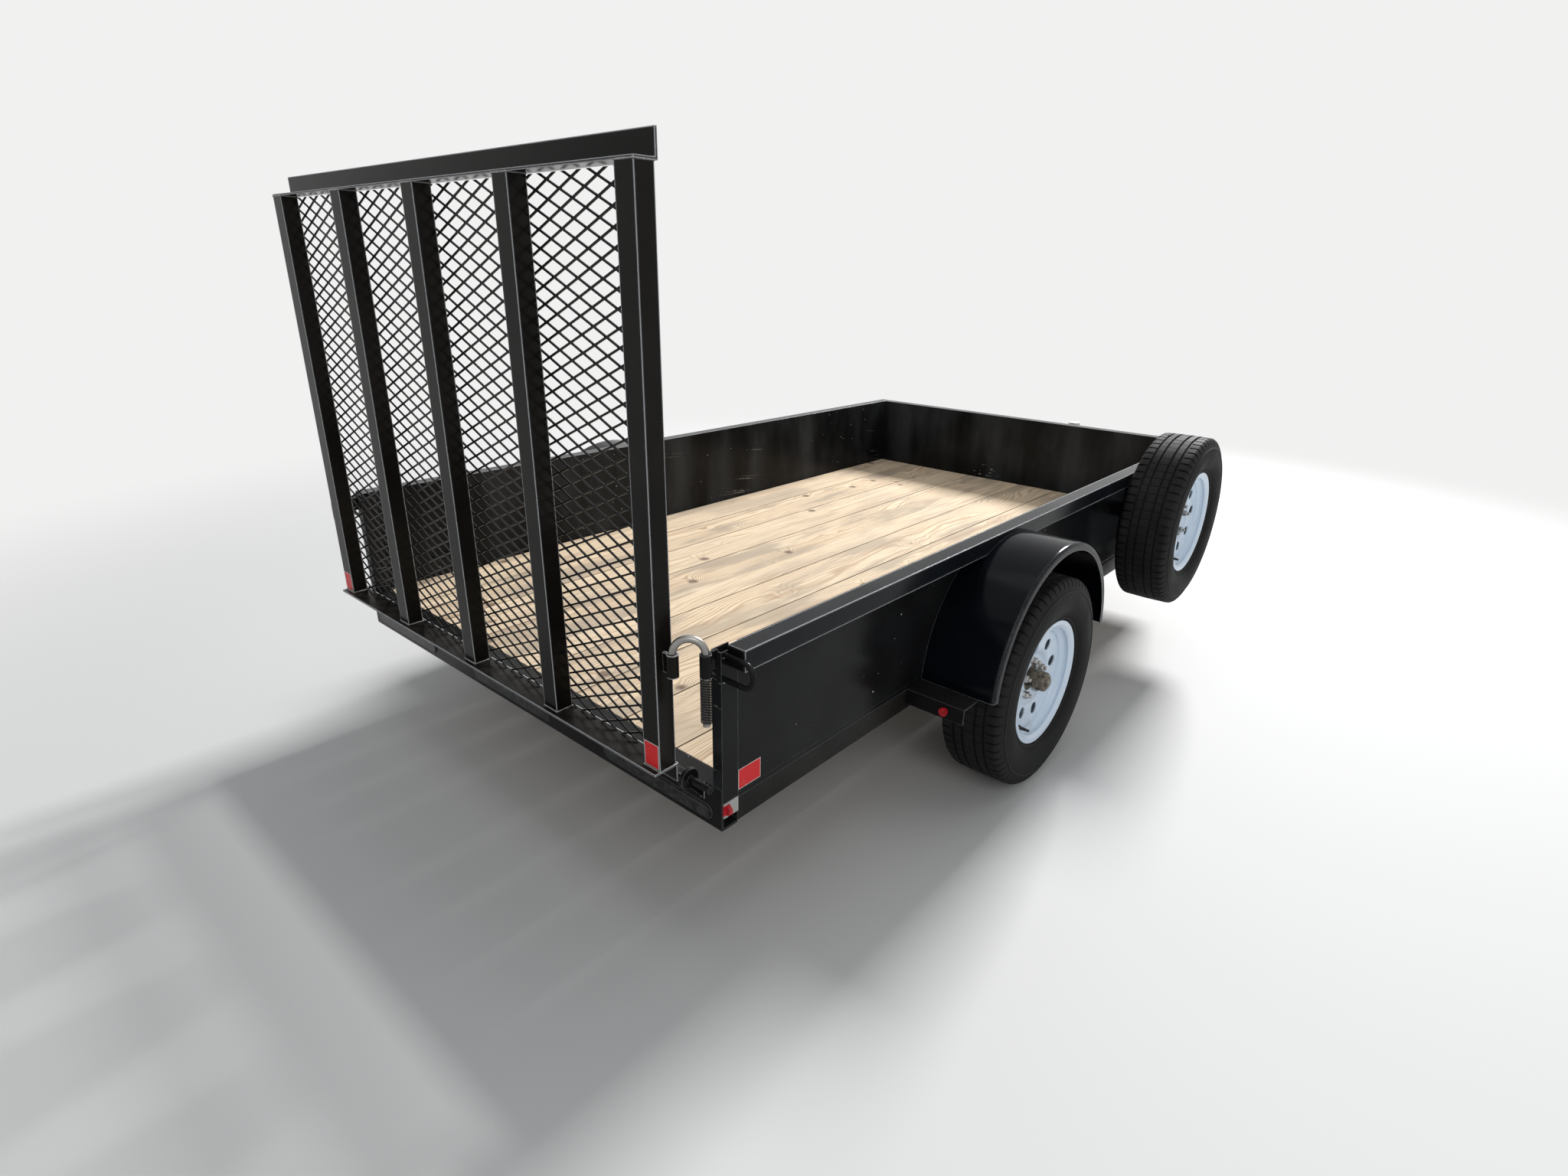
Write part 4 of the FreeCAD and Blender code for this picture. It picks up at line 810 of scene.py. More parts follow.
def expanded_metal():
    tree, given, result = new_tree("expanded_metal", [
        ("Columns", "Int"), ("Rows", "Int"), ("Thickness", "Float"), ("Centre", "Vector"),
        ("Finish", "Material")])
    slope = math.atan2(MESH_SHORT, MESH_LONG)
    length = math.hypot(MESH_LONG, MESH_SHORT) / 2
    flat = (length, STRAND_WIDTH, 1.0)
    strands = [box_node(tree, flat, (side * MESH_LONG / 4, MESH_SHORT / 4, 0.0), side * slope)
               for side in (1, -1)]
    bond = box_node(tree, (BOND_LENGTH, BOND_HEIGHT, 1.0), (0.0, 0.0, 0.0))
    cell = wire(tree, "GeometryNodeJoinGeometry", {}).inputs[0]
    for piece in strands + [bond]:
        tree.links.new(piece, cell)
    sheets = wire(tree, "GeometryNodeJoinGeometry", {})
    size = {"Size X": times(tree, given["Columns"], MESH_LONG),
            "Size Y": times(tree, given["Rows"], MESH_SHORT),
            "Vertices X": maths(tree, "ADD", given["Columns"], 1.0),
            "Vertices Y": maths(tree, "ADD", given["Rows"], 1.0)}
    for shift in ((0.0, 0.0, 0.0), (MESH_LONG / 2, MESH_SHORT / 2, 0.0)):
        grid = wire(tree, "GeometryNodeMeshGrid", size).outputs["Mesh"]
        grid = wired(tree, "GeometryNodeTransform", {"Geometry": grid, "Translation": shift})
        cells = wire(tree, "GeometryNodeInstanceOnPoints", {"Points": grid, "Instance": cell.node.outputs[0]})
        tree.links.new(cells.outputs[0], sheets.inputs[0])
    thick = wired(tree, "ShaderNodeCombineXYZ", {0: 1.0, 1: 1.0, 2: given["Thickness"]})
    upright = wired(tree, "GeometryNodeTransform", {"Geometry": sheets.outputs[0], "Scale": thick})
    upright = wired(tree, "GeometryNodeTransform", {"Geometry": upright, "Translation": given["Centre"],
                                                    "Rotation": (math.pi / 2, 0.0, math.pi / 2)})
    finish_tree(tree, upright, given, result)
    return tree


def trimmed(mesh, lowest, highest):
    """Cut the mesh to a box and close the cut ends."""
    work = bmesh.new()
    work.from_mesh(mesh)
    for axis in (1, 2):
        for corner, sign in ((lowest, -1), (highest, 1)):
            facing = Vector([sign if index == axis else 0 for index in range(3)])
            everything = work.verts[:] + work.edges[:] + work.faces[:]
            bmesh.ops.bisect_plane(work, geom=everything, plane_co=corner, plane_no=facing, clear_outer=True)
            bmesh.ops.holes_fill(work, edges=[edge for edge in work.edges if edge.is_boundary])
    work.to_mesh(mesh)
    work.free()
    return mesh


def gate_sheet():
    size = MESH_HIGH - MESH_LOW
    mesh = grown("gate_sheet", expanded_metal(), columns=int(size.y / MESH_LONG) + 2,
                 rows=int(size.z / MESH_SHORT) + 2, thickness=size.x, centre=(MESH_LOW + MESH_HIGH) / 2,
                 finish=MESH_BLACK)
    inset = Vector((0, SHEET_INSET, 0))
    mesh = trimmed(mesh, MESH_LOW + inset, MESH_HIGH - inset)
    add_piece("gate_sheet", mesh, "gate", replaces="gate_mesh")


gate_sheet()

# %% [markdown]
# A tyre is one short wedge repeated round the wheel. The wedge has the whole cross section: bead,
# bulged side with moulded rings, shoulder lugs and a tread with grooves and thin cuts. Geometry Nodes
# turn it round the axle and weld the wedges together, so the tyre is one closed shell.

# %% Tyres
PITCHES = 66
# Each row is radius, half width, lug depth, cut depth and tread share, from the bead to the middle, in
# millimetres. A tread share above 1 marks a moulded ring, which holds more dust.
TYRE_ROWS = [
    (178.6, 0.0, 0, 0, 0), (178.6, 70.0, 0, 0, 0), (184.0, 75.0, 0, 0, 0), (197.4, 77.4, 0, 0, 0),
    (200.0, 81.0, 0, 0, 0), (204.0, 84.4, 0, 0, 0), (208.0, 86.6, 0, 0, 2.5), (210.0, 84.8, 0, 0, 0),
    (216.0, 90.4, 0, 0, 0), (226.0, 95.8, 0, 0, 0), (240.0, 100.0, 0, 0, 0), (254.0, 102.1, 0, 0, 0),
    (266.0, 102.4, 0, 0, 0), (280.0, 101.2, 0, 0, 0), (290.0, 99.2, 0, 0, 0), (292.0, 100.6, 0, 0, 2.5),
    (295.0, 100.4, 0, 0, 2.5), (297.0, 97.6, 0, 0, 0), (305.0, 95.2, 0, 0, 0.2), (311.0, 93.4, 3.0, 0, 0.4),
    (318.0, 91.0, 6.0, 0, 0.6),
    (325.0, 86.5, 6.5, 0, 0.8), (329.2, 80.5, 6.5, 0, 1), (330.2, 72.0, 6.0, 0, 1), (330.4, 56.0, 3.0, 0, 1),
    (330.5, 52.5, 0, 0, 1), (323.6, 50.6, 0, 0, 1), (323.6, 45.4, 0, 0, 1), (330.9, 43.5, 0, 2.6, 1),
    (331.2, 24.0, 0, 2.6, 1), (324.2, 22.2, 0, 0, 1), (324.2, 16.8, 0, 0, 1), (331.4, 15.0, 0, 2.6, 1),
    (331.5, 0.0, 0, 2.6, 1),
]
TYRE_LOOP = TYRE_ROWS + [(row[0], -row[1]) + row[2:] for row in TYRE_ROWS[-2:0:-1]]
# Each row is a share of the pitch, and the shares of the lug's and of the cut's depth there.
PITCH_STEPS = [(0.0, 0, 0), (0.04, 1, 0), (0.20, 1, 0), (0.24, 0, 0), (0.56, 0, 0), (0.575, 0, 1),
               (0.615, 0, 1), (0.63, 0, 0), (1.0, 0, 0)]
PLAIN_STEPS = [(0.0, 0, 0), (1.0, 0, 0)]
WELD_GAP = 0.02 * MM


def wedge(name, loop, steps, pitches):
    """One pitch of a ring about the Y axis, from its cross section."""
    mesh = bpy.data.meshes.new(name)
    turn = 2 * math.pi / pitches
    points, shares = [], []
    for step, lug, cut in steps:
        for radius, half, lug_depth, cut_depth, share in loop:
            reach = (radius - lug * lug_depth - cut * cut_depth) * MM
            points.append((reach * math.sin(step * turn), half * MM, reach * math.cos(step * turn)))
            shares.append(share)
    count = len(loop)
    faces = [(step * count + index, step * count + (index + 1) % count,
              (step + 1) * count + (index + 1) % count, (step + 1) * count + index)
             for step in range(len(steps) - 1) for index in range(count)]
    mesh.from_pydata(points, [], faces)
    carried = mesh.attributes.new("tread_share", "FLOAT", "POINT")
    carried.data.foreach_set("value", shares)
    return mesh


def wheel_ring():
    tree, given, result = new_tree("wheel_ring", [("Count", "Int"), ("Centre", "Vector"),
                                                  ("Finish", "Material")])
    line = wired(tree, "GeometryNodeMeshLine", {"Count": given["Count"], "Offset": (0.0, 0.0, 0.0)})
    index = tree.nodes.new("GeometryNodeInputIndex").outputs[0]
    turn = times(tree, index, maths(tree, "DIVIDE", 2 * math.pi, given["Count"]))
    rotation = wired(tree, "FunctionNodeAxisAngleToRotation", {"Axis": (0.0, 1.0, 0.0), "Angle": turn})
    ring = wired(tree, "GeometryNodeInstanceOnPoints", {"Points": line, "Instance": given["Geometry"],
                                                        "Rotation": rotation})
    real = wired(tree, "GeometryNodeRealizeInstances", {0: ring})
    whole = wired(tree, "GeometryNodeMergeByDistance", {"Geometry": real, "Distance": WELD_GAP})
    placed = wired(tree, "GeometryNodeTransform", {"Geometry": whole, "Translation": given["Centre"]})
    finish_tree(tree, placed, given, result)
    return tree


def outward(mesh):
    """Turn the faces of a closed shell outwards."""
    work = bmesh.new()
    work.from_mesh(mesh)
    bmesh.ops.recalc_face_normals(work, faces=work.faces)
    work.to_mesh(mesh)
    work.free()
    return mesh


def tyres():
    ring = wheel_ring()
    slice_of_tyre = wedge("tyre_wedge", TYRE_LOOP, PITCH_STEPS, PITCHES)
    for node, body in (("tyre_left", "wheel_left"), ("tyre_right", "wheel_right"), ("spare_tyre", "chassis")):
        mesh = grown(node + "_treaded", ring, slice_of_tyre, count=PITCHES, centre=middle(node),
                     finish=RUBBER)
        add_piece(node + "_treaded", outward(mesh), body, replaces=node)


tyres()

# %% [markdown]
# A pressed steel wheel is two rings: the rolled barrel that holds the tyre and the dished disc with
# its holes. Both are wedges turned about the axle like the tyre, and then the hand holes are punched
# through the disc, as a press does it. The photo shows the disc close to the wheel's outer edge.

# %% Pressed steel wheels
WHEEL_PITCHES = 80
# Each pair is radius and distance outwards from the rim's middle, in millimetres.
BARREL = [(197.0, 82.0), (197.4, 80.0), (196.0, 78.2), (188.0, 77.0), (181.0, 75.6), (178.0, 72.5),
          (178.0, 61.0), (175.5, 57.5), (162.5, 49.5), (160.0, 46.0), (160.0, -14.0), (162.5, -18.0),
          (175.5, -32.0), (178.0, -36.0), (178.0, -72.5), (181.0, -75.6), (188.0, -77.0), (196.0, -78.2),
          (197.4, -80.0), (197.0, -82.0), (193.0, -81.6), (184.0, -80.2), (176.0, -78.0), (174.0, -74.0),
          (174.0, -38.0), (171.0, -33.5), (158.0, -19.0), (156.0, -14.0), (156.0, 44.0), (159.0, 51.0),
          (171.5, 58.6), (174.0, 63.0), (174.0, 70.0), (172.6, 71.4), (172.6, 73.0), (175.0, 75.6),
          (184.0, 80.2), (193.0, 81.6)]
DISC = [(156.5, 45.5), (153.0, 47.4), (147.0, 47.6), (136.0, 46.2), (124.0, 45.0), (112.0, 44.6),
        (98.0, 43.6), (88.0, 40.0), (80.0, 33.4), (74.0, 30.6), (42.0, 30.0), (42.0, 26.0), (75.0, 26.6),
        (83.0, 29.6), (90.0, 36.0), (99.0, 39.6), (112.0, 40.6), (124.0, 41.0), (136.0, 42.2),
        (147.0, 43.6), (156.5, 42.0)]
PAD_FACE = 30.0 * MM
HAND_HOLES = 8
# The hand holes' radius, the radius of the circle they lie on and the turn of the first one.
HAND_HOLE = (18.5 * MM, 114.0 * MM, math.radians(11.4))
PUNCH_SIDES = 24
PUNCH_LENGTH = 0.3
# Each row is a wheel's rim node, its body, its side and its valve's name.
WHEELS = [("rim_left", "wheel_left", 1, "valve_left"), ("rim_right", "wheel_right", -1, "valve_right"),
          ("spare_rim", "chassis", -1, "valve_spare")]
LUGS = 5
LUG_CIRCLE = 57.15 * MM
FIRST_LUG = math.pi / 2


def punched_disc():
    """Turn a wedge into a ring, punch holes through it and set it in its place."""
    tree, given, result = new_tree("punched_disc", [
        ("Count", "Int"), ("Holes", "Int"), ("Radius", "Float"), ("Circle", "Float"), ("First", "Float"),
        ("Centre", "Vector"), ("Finish", "Material")])
    ring = tree.nodes.new("GeometryNodeGroup")
    ring.node_tree = bpy.data.node_groups["wheel_ring"]
    for label in ("Geometry", "Count", "Finish"):
        tree.links.new(given[label], ring.inputs[label])
    punch = wired(tree, "GeometryNodeMeshCylinder", {"Vertices": PUNCH_SIDES, "Radius": given["Radius"],
                                                     "Depth": PUNCH_LENGTH})
    punch = wired(tree, "GeometryNodeTransform", {"Geometry": punch, "Rotation": (math.pi / 2, 0.0, 0.0)})
    marks = wired(tree, "GeometryNodeMeshLine", {"Count": given["Holes"], "Offset": (0.0, 0.0, 0.0)})
    index = tree.nodes.new("GeometryNodeInputIndex").outputs[0]
    turn = spread(tree, index, maths(tree, "DIVIDE", 2 * math.pi, given["Holes"]), given["First"])
    spot = wired(tree, "ShaderNodeCombineXYZ", {
        0: times(tree, maths(tree, "COSINE", turn), given["Circle"]), 1: 0.0,
        2: times(tree, maths(tree, "SINE", turn), given["Circle"])})
    placed = wired(tree, "GeometryNodeSetPosition", {"Geometry": marks, "Position": spot})
    punches = wired(tree, "GeometryNodeInstanceOnPoints", {"Points": placed, "Instance": punch})
    punches = wired(tree, "GeometryNodeRealizeInstances", {0: punches})
    cut = tree.nodes.new("GeometryNodeMeshBoolean")
    cut.operation = "DIFFERENCE"
    tree.links.new(ring.outputs[0], cut.inputs["Mesh 1"])
    tree.links.new(punches, cut.inputs["Mesh 2"])
    whole = wired(tree, "GeometryNodeTransform", {"Geometry": cut.outputs[0],
                                                  "Translation": given["Centre"]})
    finish_tree(tree, whole, given, result)
    return tree


def towards(outline, side):
    """The outline with its outer face towards +Y or -Y, as rows for a wedge."""
    return [(radius, side * across, 0, 0, 0) for radius, across in outline]


def pressed_wheels():
    ring = bpy.data.node_groups["wheel_ring"]
    punch = punched_disc()
    for node, body, side, _ in WHEELS:
        centre = middle(node)
        barrel = wedge(node + "_barrel_wedge", towards(BARREL, side), PLAIN_STEPS, WHEEL_PITCHES)
        disc = wedge(node + "_disc_wedge", towards(DISC, side), PLAIN_STEPS, WHEEL_PITCHES)
        mesh = grown(node + "_barrel", ring, barrel, count=WHEEL_PITCHES, centre=centre, finish=WHEEL_WHITE)
        add_piece(node + "_barrel", outward(mesh), body, replaces=node)
        radius, circle, first = HAND_HOLE
        mesh = grown(node + "_disc", punch, disc, count=WHEEL_PITCHES, holes=HAND_HOLES, radius=radius,
                     circle=circle, first=first, centre=centre, finish=WHEEL_WHITE)
        add_piece(node + "_disc", outward(mesh), body)


pressed_wheels()

# %% [markdown]
# The hub carries the wheel: a cast barrel, a grease cap that sticks out, and five studs with nuts.
# All of them are turned from a short outline, and a nut is the same turning with six sides.

# %% Hubs and nuts
# Each pair is radius and distance outwards, in millimetres.
HUB_OUTLINE = [(17.05, -62.0), (38.0, -62.0), (38.0, 14.0), (70.0, 15.0), (72.0, 17.0), (72.0, 25.9),
               (30.0, 26.0), (30.5, 60.0), (32.0, 61.0), (32.0, 64.0), (30.5, 65.0), (30.0, 78.0),
               (27.0, 84.0), (22.0, 86.0), (20.0, 86.0), (19.0, 88.5), (14.0, 91.0), (6.0, 92.0),
               (1.0, 92.0), (1.0, 66.0), (17.05, 64.0)]
NUT_OUTLINE = [(5.0, 0.0), (13.0, 0.0), (13.0, 2.0), (11.4, 2.6), (11.4, 15.0), (9.8, 17.0), (5.0, 17.0)]
STUD_OUTLINE = [(0.2, -2.0), (6.2, -2.0), (6.2, 25.0), (5.0, 26.5), (0.2, 26.5)]
HUB_SIDES = 48
NUT_SIDES = 6
STUD_SIDES = 12


def turned_into(work, outline, foot, side, sides):
    """Turn a closed outline (radius, distance outwards in mm) about the Y line through the foot."""
    rings = []
    for radius, reach in outline:
        rings.append([work.verts.new(foot + Vector((radius * MM * math.cos(2 * math.pi * index / sides),
                                                    side * reach * MM,
                                                    radius * MM * math.sin(2 * math.pi * index / sides))))
                      for index in range(sides)])
    for ring, following in zip(rings, rings[1:] + rings[:1]):
        for index in range(sides):
            after = (index + 1) % sides
            work.faces.new((ring[index], ring[after], following[after], following[index]))


def mesh_of(name, work):
    bmesh.ops.recalc_face_normals(work, faces=work.faces)
    mesh = bpy.data.meshes.new(name)
    work.to_mesh(mesh)
    work.free()
    return mesh


def lug_feet(centre, side):
    for index in range(LUGS):
        turn = FIRST_LUG + 2 * math.pi * index / LUGS
        yield centre + Vector((LUG_CIRCLE * math.cos(turn), side * PAD_FACE, LUG_CIRCLE * math.sin(turn)))


def nuts_into(work, centre, side):
    for foot in lug_feet(centre, side):
        turned_into(work, NUT_OUTLINE, foot, side, NUT_SIDES)
        turned_into(work, STUD_OUTLINE, foot, side, STUD_SIDES)


def hubs():
    for node, body, side in (("hub_left", "wheel_left", 1), ("hub_right", "wheel_right", -1)):
        work = bmesh.new()
        turned_into(work, HUB_OUTLINE, middle("rim" + node[3:]), side, HUB_SIDES)
        nuts_into(work, middle("rim" + node[3:]), side)
        add_piece(node + "_cast", mesh_of(node + "_cast", work), body, HUB_METAL, replaces=node)
    work = bmesh.new()
    nuts_into(work, middle("spare_rim"), -1)
    add_piece("spare_nuts", mesh_of("spare_nuts", work), "chassis", ZINC)


hubs()

# %% [markdown]
# The latch springs are real coils. A spiral curve gets a round wire, once for each side. Its inner
# and outer size are those of the tube that stands for it in the frame.

# %% Coil springs
COIL_TURNS = 17.0
COIL_WIRE = 1.6 * MM
COIL_STEPS = 26
COIL_OUTSIDE = 12.5 * MM
WIRE_SIDES = 8


def coil_spring():
    tree, given, result = new_tree("coil_spring", [("Radius", "Float"), ("Height", "Float"),
                                                   ("Place", "Vector"), ("Finish", "Material")])
    coil = wired(tree, "GeometryNodeCurveSpiral", {
        "Resolution": COIL_STEPS, "Rotations": COIL_TURNS, "Start Radius": given["Radius"],
        "End Radius": given["Radius"], "Height": given["Height"]})
    ring = wired(tree, "GeometryNodeCurvePrimitiveCircle", {"Resolution": WIRE_SIDES, "Radius": COIL_WIRE})
    round_wire = wired(tree, "GeometryNodeCurveToMesh", {"Curve": coil, "Profile Curve": ring,
                                                         "Fill Caps": True})
    placed = wired(tree, "GeometryNodeTransform", {"Geometry": round_wire, "Translation": given["Place"]})
    finish_tree(tree, placed, given, result)
    return tree


def latch_coils():
    tree = coil_spring()
    start, end = low("latch_springs"), high("latch_springs")
    for side, across in (("right", start.y + COIL_OUTSIDE), ("left", end.y - COIL_OUTSIDE)):
        place = Vector((middle("latch_springs").x, across, start.z + COIL_WIRE))
        mesh = grown("coil_" + side, tree, radius=COIL_OUTSIDE - COIL_WIRE,
                     height=end.z - start.z - 2 * COIL_WIRE, place=place, finish=SPRING_STEEL)
        add_piece("latch_coil_" + side, mesh, "chassis",
                  replaces="latch_springs" if side == "left" else None)


latch_coils()

# %% [markdown]
# A weld is a row of overlapping drops. Each seam is one straight edge of a seed mesh, and the tree
# sets flattened drops along it with a little chance in their size, as a welder's hand has.

# %% Weld beads
WELD_STEP = 3.4 * MM
WELD_SIZE = 2.7 * MM
POST_WIDTH = 50.0 * MM
GATE_BAYS = 4
LOOP_HALF = 6.0 * MM


def weld_rows():
    tree, given, result = new_tree("weld_rows", [("Step", "Float"), ("Size", "Float"), ("Seed", "Int"),
                                                 ("Finish", "Material")])
    curve = wired(tree, "GeometryNodeMeshToCurve", {"Mesh": given["Geometry"]})
    spaced = wired(tree, "GeometryNodeResampleCurve", {"Curve": curve, "Length": given["Step"]},
                   mode="LENGTH")
    drop = wired(tree, "GeometryNodeMeshIcoSphere", {"Radius": given["Size"], "Subdivisions": 1})
    chance = wire(tree, "FunctionNodeRandomValue",
                  {"Min": (0.75, 0.75, 0.6), "Max": (1.2, 1.2, 1.0), "Seed": given["Seed"]},
                  data_type="FLOAT_VECTOR").outputs["Value"]
    drops = wired(tree, "GeometryNodeInstanceOnPoints", {"Points": spaced, "Instance": drop,
                                                         "Scale": chance})
    finish_tree(tree, drops, given, result)
    return tree


def seams(name, lines):
    """A seed mesh with one edge for each seam."""
    mesh = bpy.data.meshes.new(name)
    points = [point for line in lines for point in line]
    mesh.from_pydata(points, [(index, index + 1) for index in range(0, len(points), 2)], [])
    return mesh


def gate_seams():
    """Round the foot and the top of each gate post."""
    posts_low, posts_high = low("gate_posts"), high("gate_posts")
    pitch = (posts_high.y - posts_low.y - POST_WIDTH) / GATE_BAYS
    lines = []
    for height in (posts_low.z, posts_high.z):
        for index in range(GATE_BAYS + 1):
            start = posts_low.y + index * pitch
            for across in (start, start + POST_WIDTH):
                lines.append(((POST_REAR, across, height), (MESH_LOW.x, across, height)))
            lines.append(((POST_REAR, start, height), (POST_REAR, start + POST_WIDTH, height)))
    return lines


def chassis_seams():
    """At the corner loops' ends, beside the hinge lugs and at the strap loops' feet."""
    lines = []
    loop_low, loop_high = low("corner_loops"), high("corner_loops")
    loop_x = middle("corner_loops").x
    channel_low = low("rear_channel")
    for side in (-1, 1):
        for height in (loop_high.z - LOOP_HALF, loop_low.z + LOOP_HALF):
            lines.append(((loop_x - LOOP_HALF, side * WALL_OUT, height - 5.0 * MM),
                          (loop_x + LOOP_HALF, side * WALL_OUT, height - 5.0 * MM)))
        for across in (GATE_SIDE + 10.0 * MM, GATE_SIDE + 20.0 * MM):
            lines.append(((channel_low.x, side * across, DECK_TOP - 44.0 * MM),
                          (channel_low.x, side * across, DECK_TOP - 2.0 * MM)))
        for station in (low("tie_loops").x + LOOP_HALF, high("tie_loops").x - LOOP_HALF):
            height = middle("tie_loops").z - LOOP_HALF
            lines.append(((station - 5.0 * MM, side * WALL_IN, height),
                          (station + 5.0 * MM, side * WALL_IN, height)))
    return lines


def welds():
    tree = weld_rows()
    for name, lines, body in (("gate_welds", gate_seams(), "gate"),
                              ("chassis_welds", chassis_seams(), "chassis")):
        mesh = grown(name, tree, seams(name + "_seams", lines), step=WELD_STEP, size=WELD_SIZE,
                     seed=RANDOM_SEED, finish=WELD)
        add_piece(name, mesh, body)


welds()

# %% [markdown]
# Reflective tape marks the rear corners: a red patch on each side wall and one on the foot of each
# outer gate post. Each patch is a thin plate whose rim keeps the film's pale edge.

# %% Reflective tape
TAPE_THICK = 0.5 * MM
TAPE_RIM = 1.8 * MM
WALL_TAPE = (71.0 * MM, 51.0 * MM)
WALL_TAPE_PLACE = (28.5 * MM, 21.0 * MM)
POST_TAPE_HEIGHT = 58.0 * MM
POST_TAPE_EDGE = 3.0 * MM
POST_TAPE_FOOT = 4.0 * MM


def tape(name, corner, along, up, facing, body):
    """A thin plate from a corner, spread along and up, with a pale rim."""
    work = bmesh.new()
    bottom = [corner, corner + along, corner + along + up, corner + up]
    verts = [work.verts.new(point) for point in bottom]
    face = work.faces.new(verts)
    if face.calc_center_median().dot(facing) and face.normal.dot(facing) < 0:
        face.normal_flip()
    made = bmesh.ops.extrude_face_region(work, geom=[face])["geom"]
    raised = [item for item in made if isinstance(item, bmesh.types.BMVert)]
    bmesh.ops.translate(work, vec=facing * TAPE_THICK, verts=raised)
    bmesh.ops.recalc_face_normals(work, faces=work.faces)
    top = max(work.faces, key=lambda item: item.calc_center_median().dot(facing))
    for item in work.faces:
        item.material_index = 1
    bmesh.ops.inset_individual(work, faces=[top], thickness=TAPE_RIM)
    top.material_index = 0
    mesh = bpy.data.meshes.new(name)
    work.to_mesh(mesh)
    work.free()
    mesh.materials.append(RED_TAPE)
    mesh.materials.append(TAPE_EDGE)
    add_piece(name, mesh, body)


def tapes():
    forward, up = Vector((WALL_TAPE[0], 0, 0)), Vector((0, 0, WALL_TAPE[1]))
    post_across, post_up = Vector((0, POST_WIDTH - 2 * POST_TAPE_EDGE, 0)), Vector((0, 0, POST_TAPE_HEIGHT))
    ahead, down = WALL_TAPE_PLACE
    for name, side in (("left", 1), ("right", -1)):
        outward_way = Vector((0, side, 0))
        corner = Vector((RAIL_REAR + ahead, side * WALL_OUT, DECK_TOP - down))
        tape("wall_tape_" + name, corner, forward, up, outward_way, "chassis")
        edge = side * GATE_SIDE
        start = min(edge, edge - side * POST_WIDTH) + POST_TAPE_EDGE
        corner = Vector((POST_REAR, start, low("gate_posts").z + POST_TAPE_FOOT))
        tape("gate_tape_" + name, corner, post_across, post_up, Vector((-1, 0, 0)), "gate")


tapes()

# %% [markdown]
# Small rubber pieces finish the lamps and the wheels: a grommet seals each lamp bar in its slot, and
# every wheel has a valve stem. Both are swept or turned from a short outline.

# %% Grommets and valve stems
BAR_LENGTH = 380.0 * MM
GROMMET_WIRE = 2.4 * MM
ROUND_STEPS = 12


def swept_loop(name, points, radius):
    """A closed round cord through the points, as a plain mesh."""
    data = bpy.data.curves.new(name, "CURVE")
    data.dimensions = "3D"
    data.bevel_depth = radius
    data.bevel_resolution = 2
    spline = data.splines.new("POLY")
    spline.points.add(len(points) - 1)
    for point, place in zip(spline.points, points):
        point.co = (*place, 1.0)
    spline.use_cyclic_u = True
    carrier = bpy.data.objects.new(name, data)
    bpy.context.scene.collection.objects.link(carrier)
    mesh = bpy.data.meshes.new_from_object(carrier)
    bpy.data.objects.remove(carrier)
    return mesh


def grommets():
    start, end = low("lamp_bars"), high("lamp_bars")
    radius = (end.z - start.z) / 2
    centre_z = (start.z + end.z) / 2
    spread = end.y - BAR_LENGTH / 2
    straight = BAR_LENGTH / 2 - radius
    for index, centre in enumerate((-spread, 0.0, spread)):
        points = []
        for side in (1, -1):
            for step in range(ROUND_STEPS + 1):
                turn = math.pi * step / ROUND_STEPS - math.pi / 2
                reach = radius + GROMMET_WIRE * 0.7
                points.append((low("rear_channel").x, centre + side * (straight + reach * math.cos(turn)),
                               centre_z + side * reach * math.sin(turn)))
        add_piece("lamp_grommet_%d" % index, swept_loop("lamp_grommet_%d" % index, points, GROMMET_WIRE),
                  "chassis", BLACK_RUBBER)


STEM_OUTLINE = [(0.3, -3.0), (8.0, -3.0), (7.6, 3.0), (5.4, 6.0), (4.8, 22.0), (4.2, 24.0), (4.1, 32.0),
                (3.0, 34.0), (0.3, 34.0)]
# The stem's distance from the axle, its turn round it and how far out from the rim's middle it starts.
STEM_PLACE = (158.0 * MM, math.radians(-121.0), 49.0 * MM)
STEM_SIDES = 14


def valve_stem(name, node, side, body):
    """A rubber stem that points out of the wheel."""
    radius, turn, across = STEM_PLACE
    foot = middle(node) + Vector((radius * math.cos(turn), side * across, radius * math.sin(turn)))
    work = bmesh.new()
    turned_into(work, STEM_OUTLINE, foot, side, STEM_SIDES)
    add_piece(name, mesh_of(name, work), body, BLACK_RUBBER)


grommets()
for node, body, side, name in WHEELS:
    valve_stem(name, node, side, body)

# %% [markdown]
# Small closings: a sill strip hides the boards' ends between each wall and its frame rail, and a plug
# shuts each end of each top tube. A strip is rolled with a small lip, and a plug is domed.

# %% Sills and plugs
SILL_RISE = 3.0 * MM
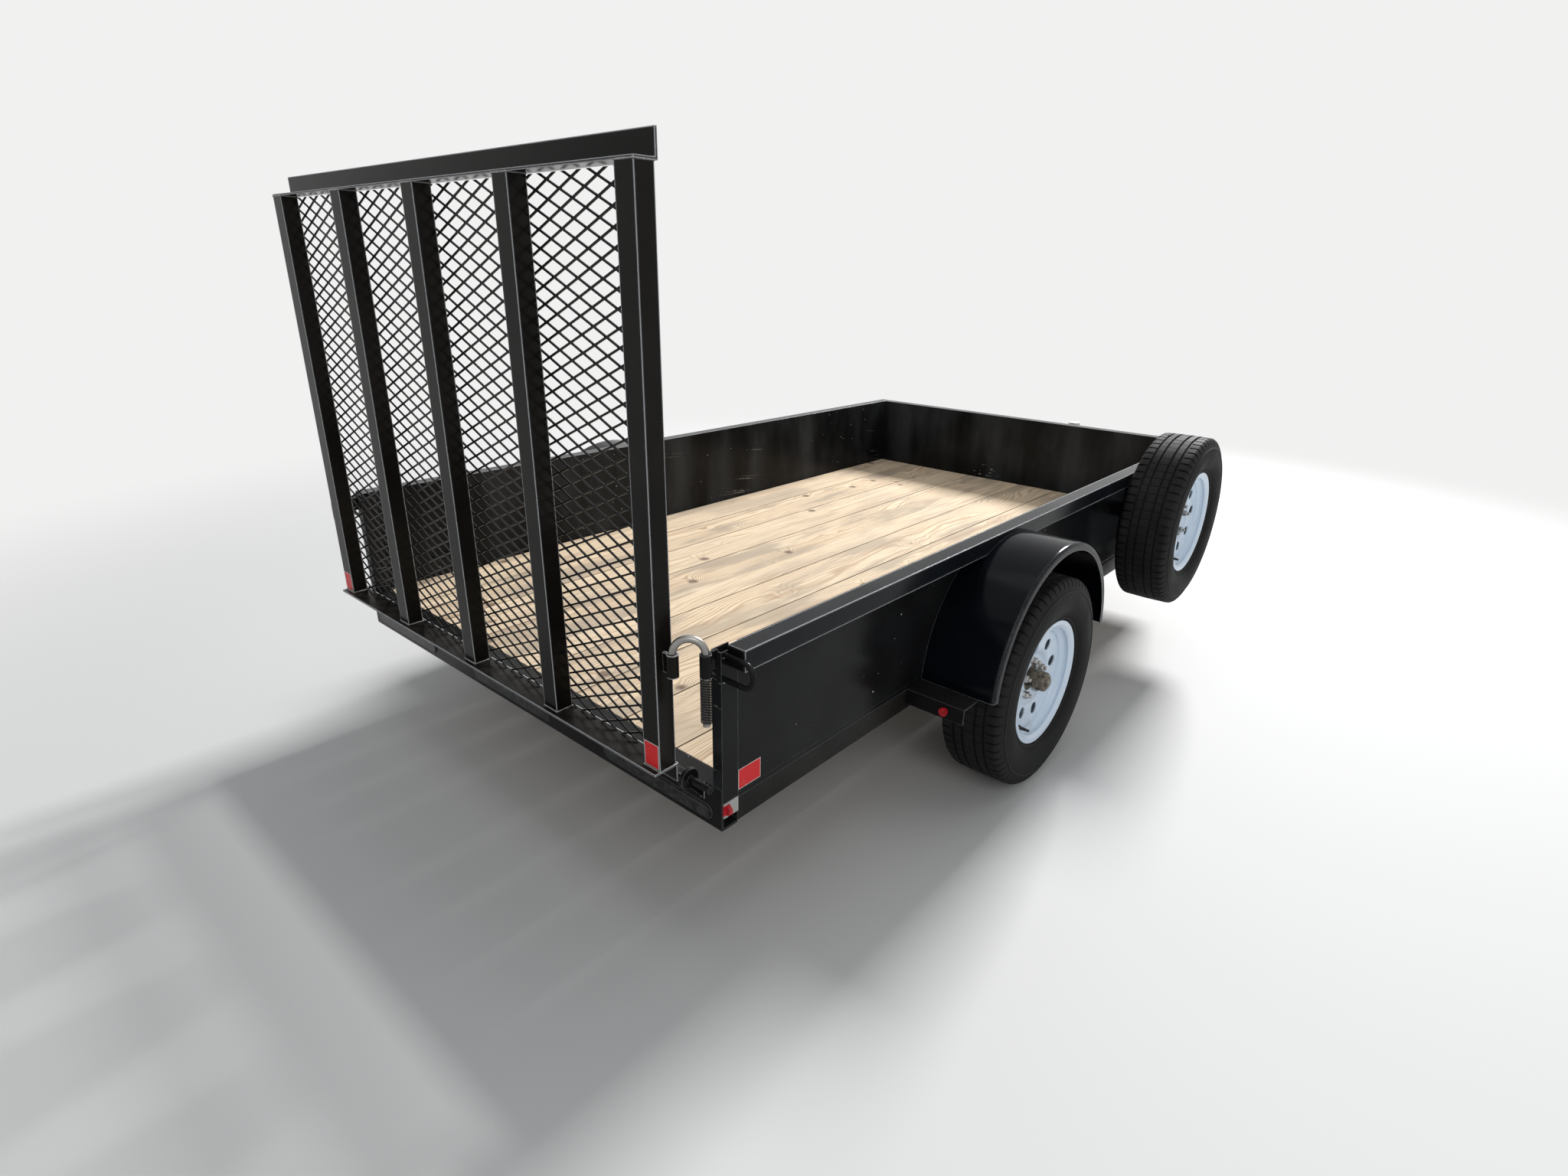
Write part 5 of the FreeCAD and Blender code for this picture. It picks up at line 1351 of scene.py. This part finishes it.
# Each pair is how far a ring of the plug stands out, in millimetres, and its share of the full size.
PLUG_ROWS = [(0.0, 1.0), (1.6, 1.0), (2.4, 0.9), (2.8, 0.6)]


def sill_strips():
    """A lipped strip from the frame rail's top to the wall sheet's foot, on both sides."""
    foot = high("frame_rails").z - SILL_RISE
    head = low("side_walls").z + SILL_RISE
    start, end = low("side_walls").x, high("side_walls").x
    section = [(WALL_IN - 0.6 * MM, foot), (WALL_IN + 2.0 * MM, foot), (WALL_IN + 2.2 * MM, foot + MM),
               (WALL_IN + 1.6 * MM, foot + 2 * MM), (WALL_IN + 1.6 * MM, head), (WALL_IN - 0.6 * MM, head)]
    for name, side in (("left", 1), ("right", -1)):
        work = bmesh.new()
        ends = [[work.verts.new((station, side * across, height)) for across, height in section]
                for station in (start, end)]
        count = len(section)
        for index in range(count):
            after = (index + 1) % count
            work.faces.new((ends[0][index], ends[0][after], ends[1][after], ends[1][index]))
        work.faces.new(ends[0])
        work.faces.new(ends[1])
        add_piece("sill_" + name, mesh_of("sill_" + name, work), "chassis", WALL_BLACK)


def tube_plugs():
    """A domed square plug in each end of each top tube."""
    base, top = low("side_rails"), high("side_rails")
    size = top.z - base.z
    for name, side, station, way in (("left", 1, base.x, -1), ("right", -1, base.x, -1),
                                     ("front_left", 1, top.x, 1), ("front_right", -1, top.x, 1)):
        centre = Vector((station, side * (top.y - size / 2), (base.z + top.z) / 2))
        work = bmesh.new()
        rings = []
        for reach, share in PLUG_ROWS:
            half = size / 2 * share - 0.5 * MM
            rings.append([work.verts.new(centre + Vector((way * reach * MM, across * half, height * half)))
                          for across, height in ((1, 1), (1, -1), (-1, -1), (-1, 1))])
        for ring, following in zip(rings, rings[1:]):
            for index in range(4):
                after = (index + 1) % 4
                work.faces.new((ring[index], ring[after], following[after], following[index]))
        work.faces.new(rings[0])
        work.faces.new(rings[-1])
        add_piece("tube_plug_" + name, mesh_of("tube_plug_" + name, work), "chassis",
                  FRAME_BLACK)


sill_strips()
tube_plugs()
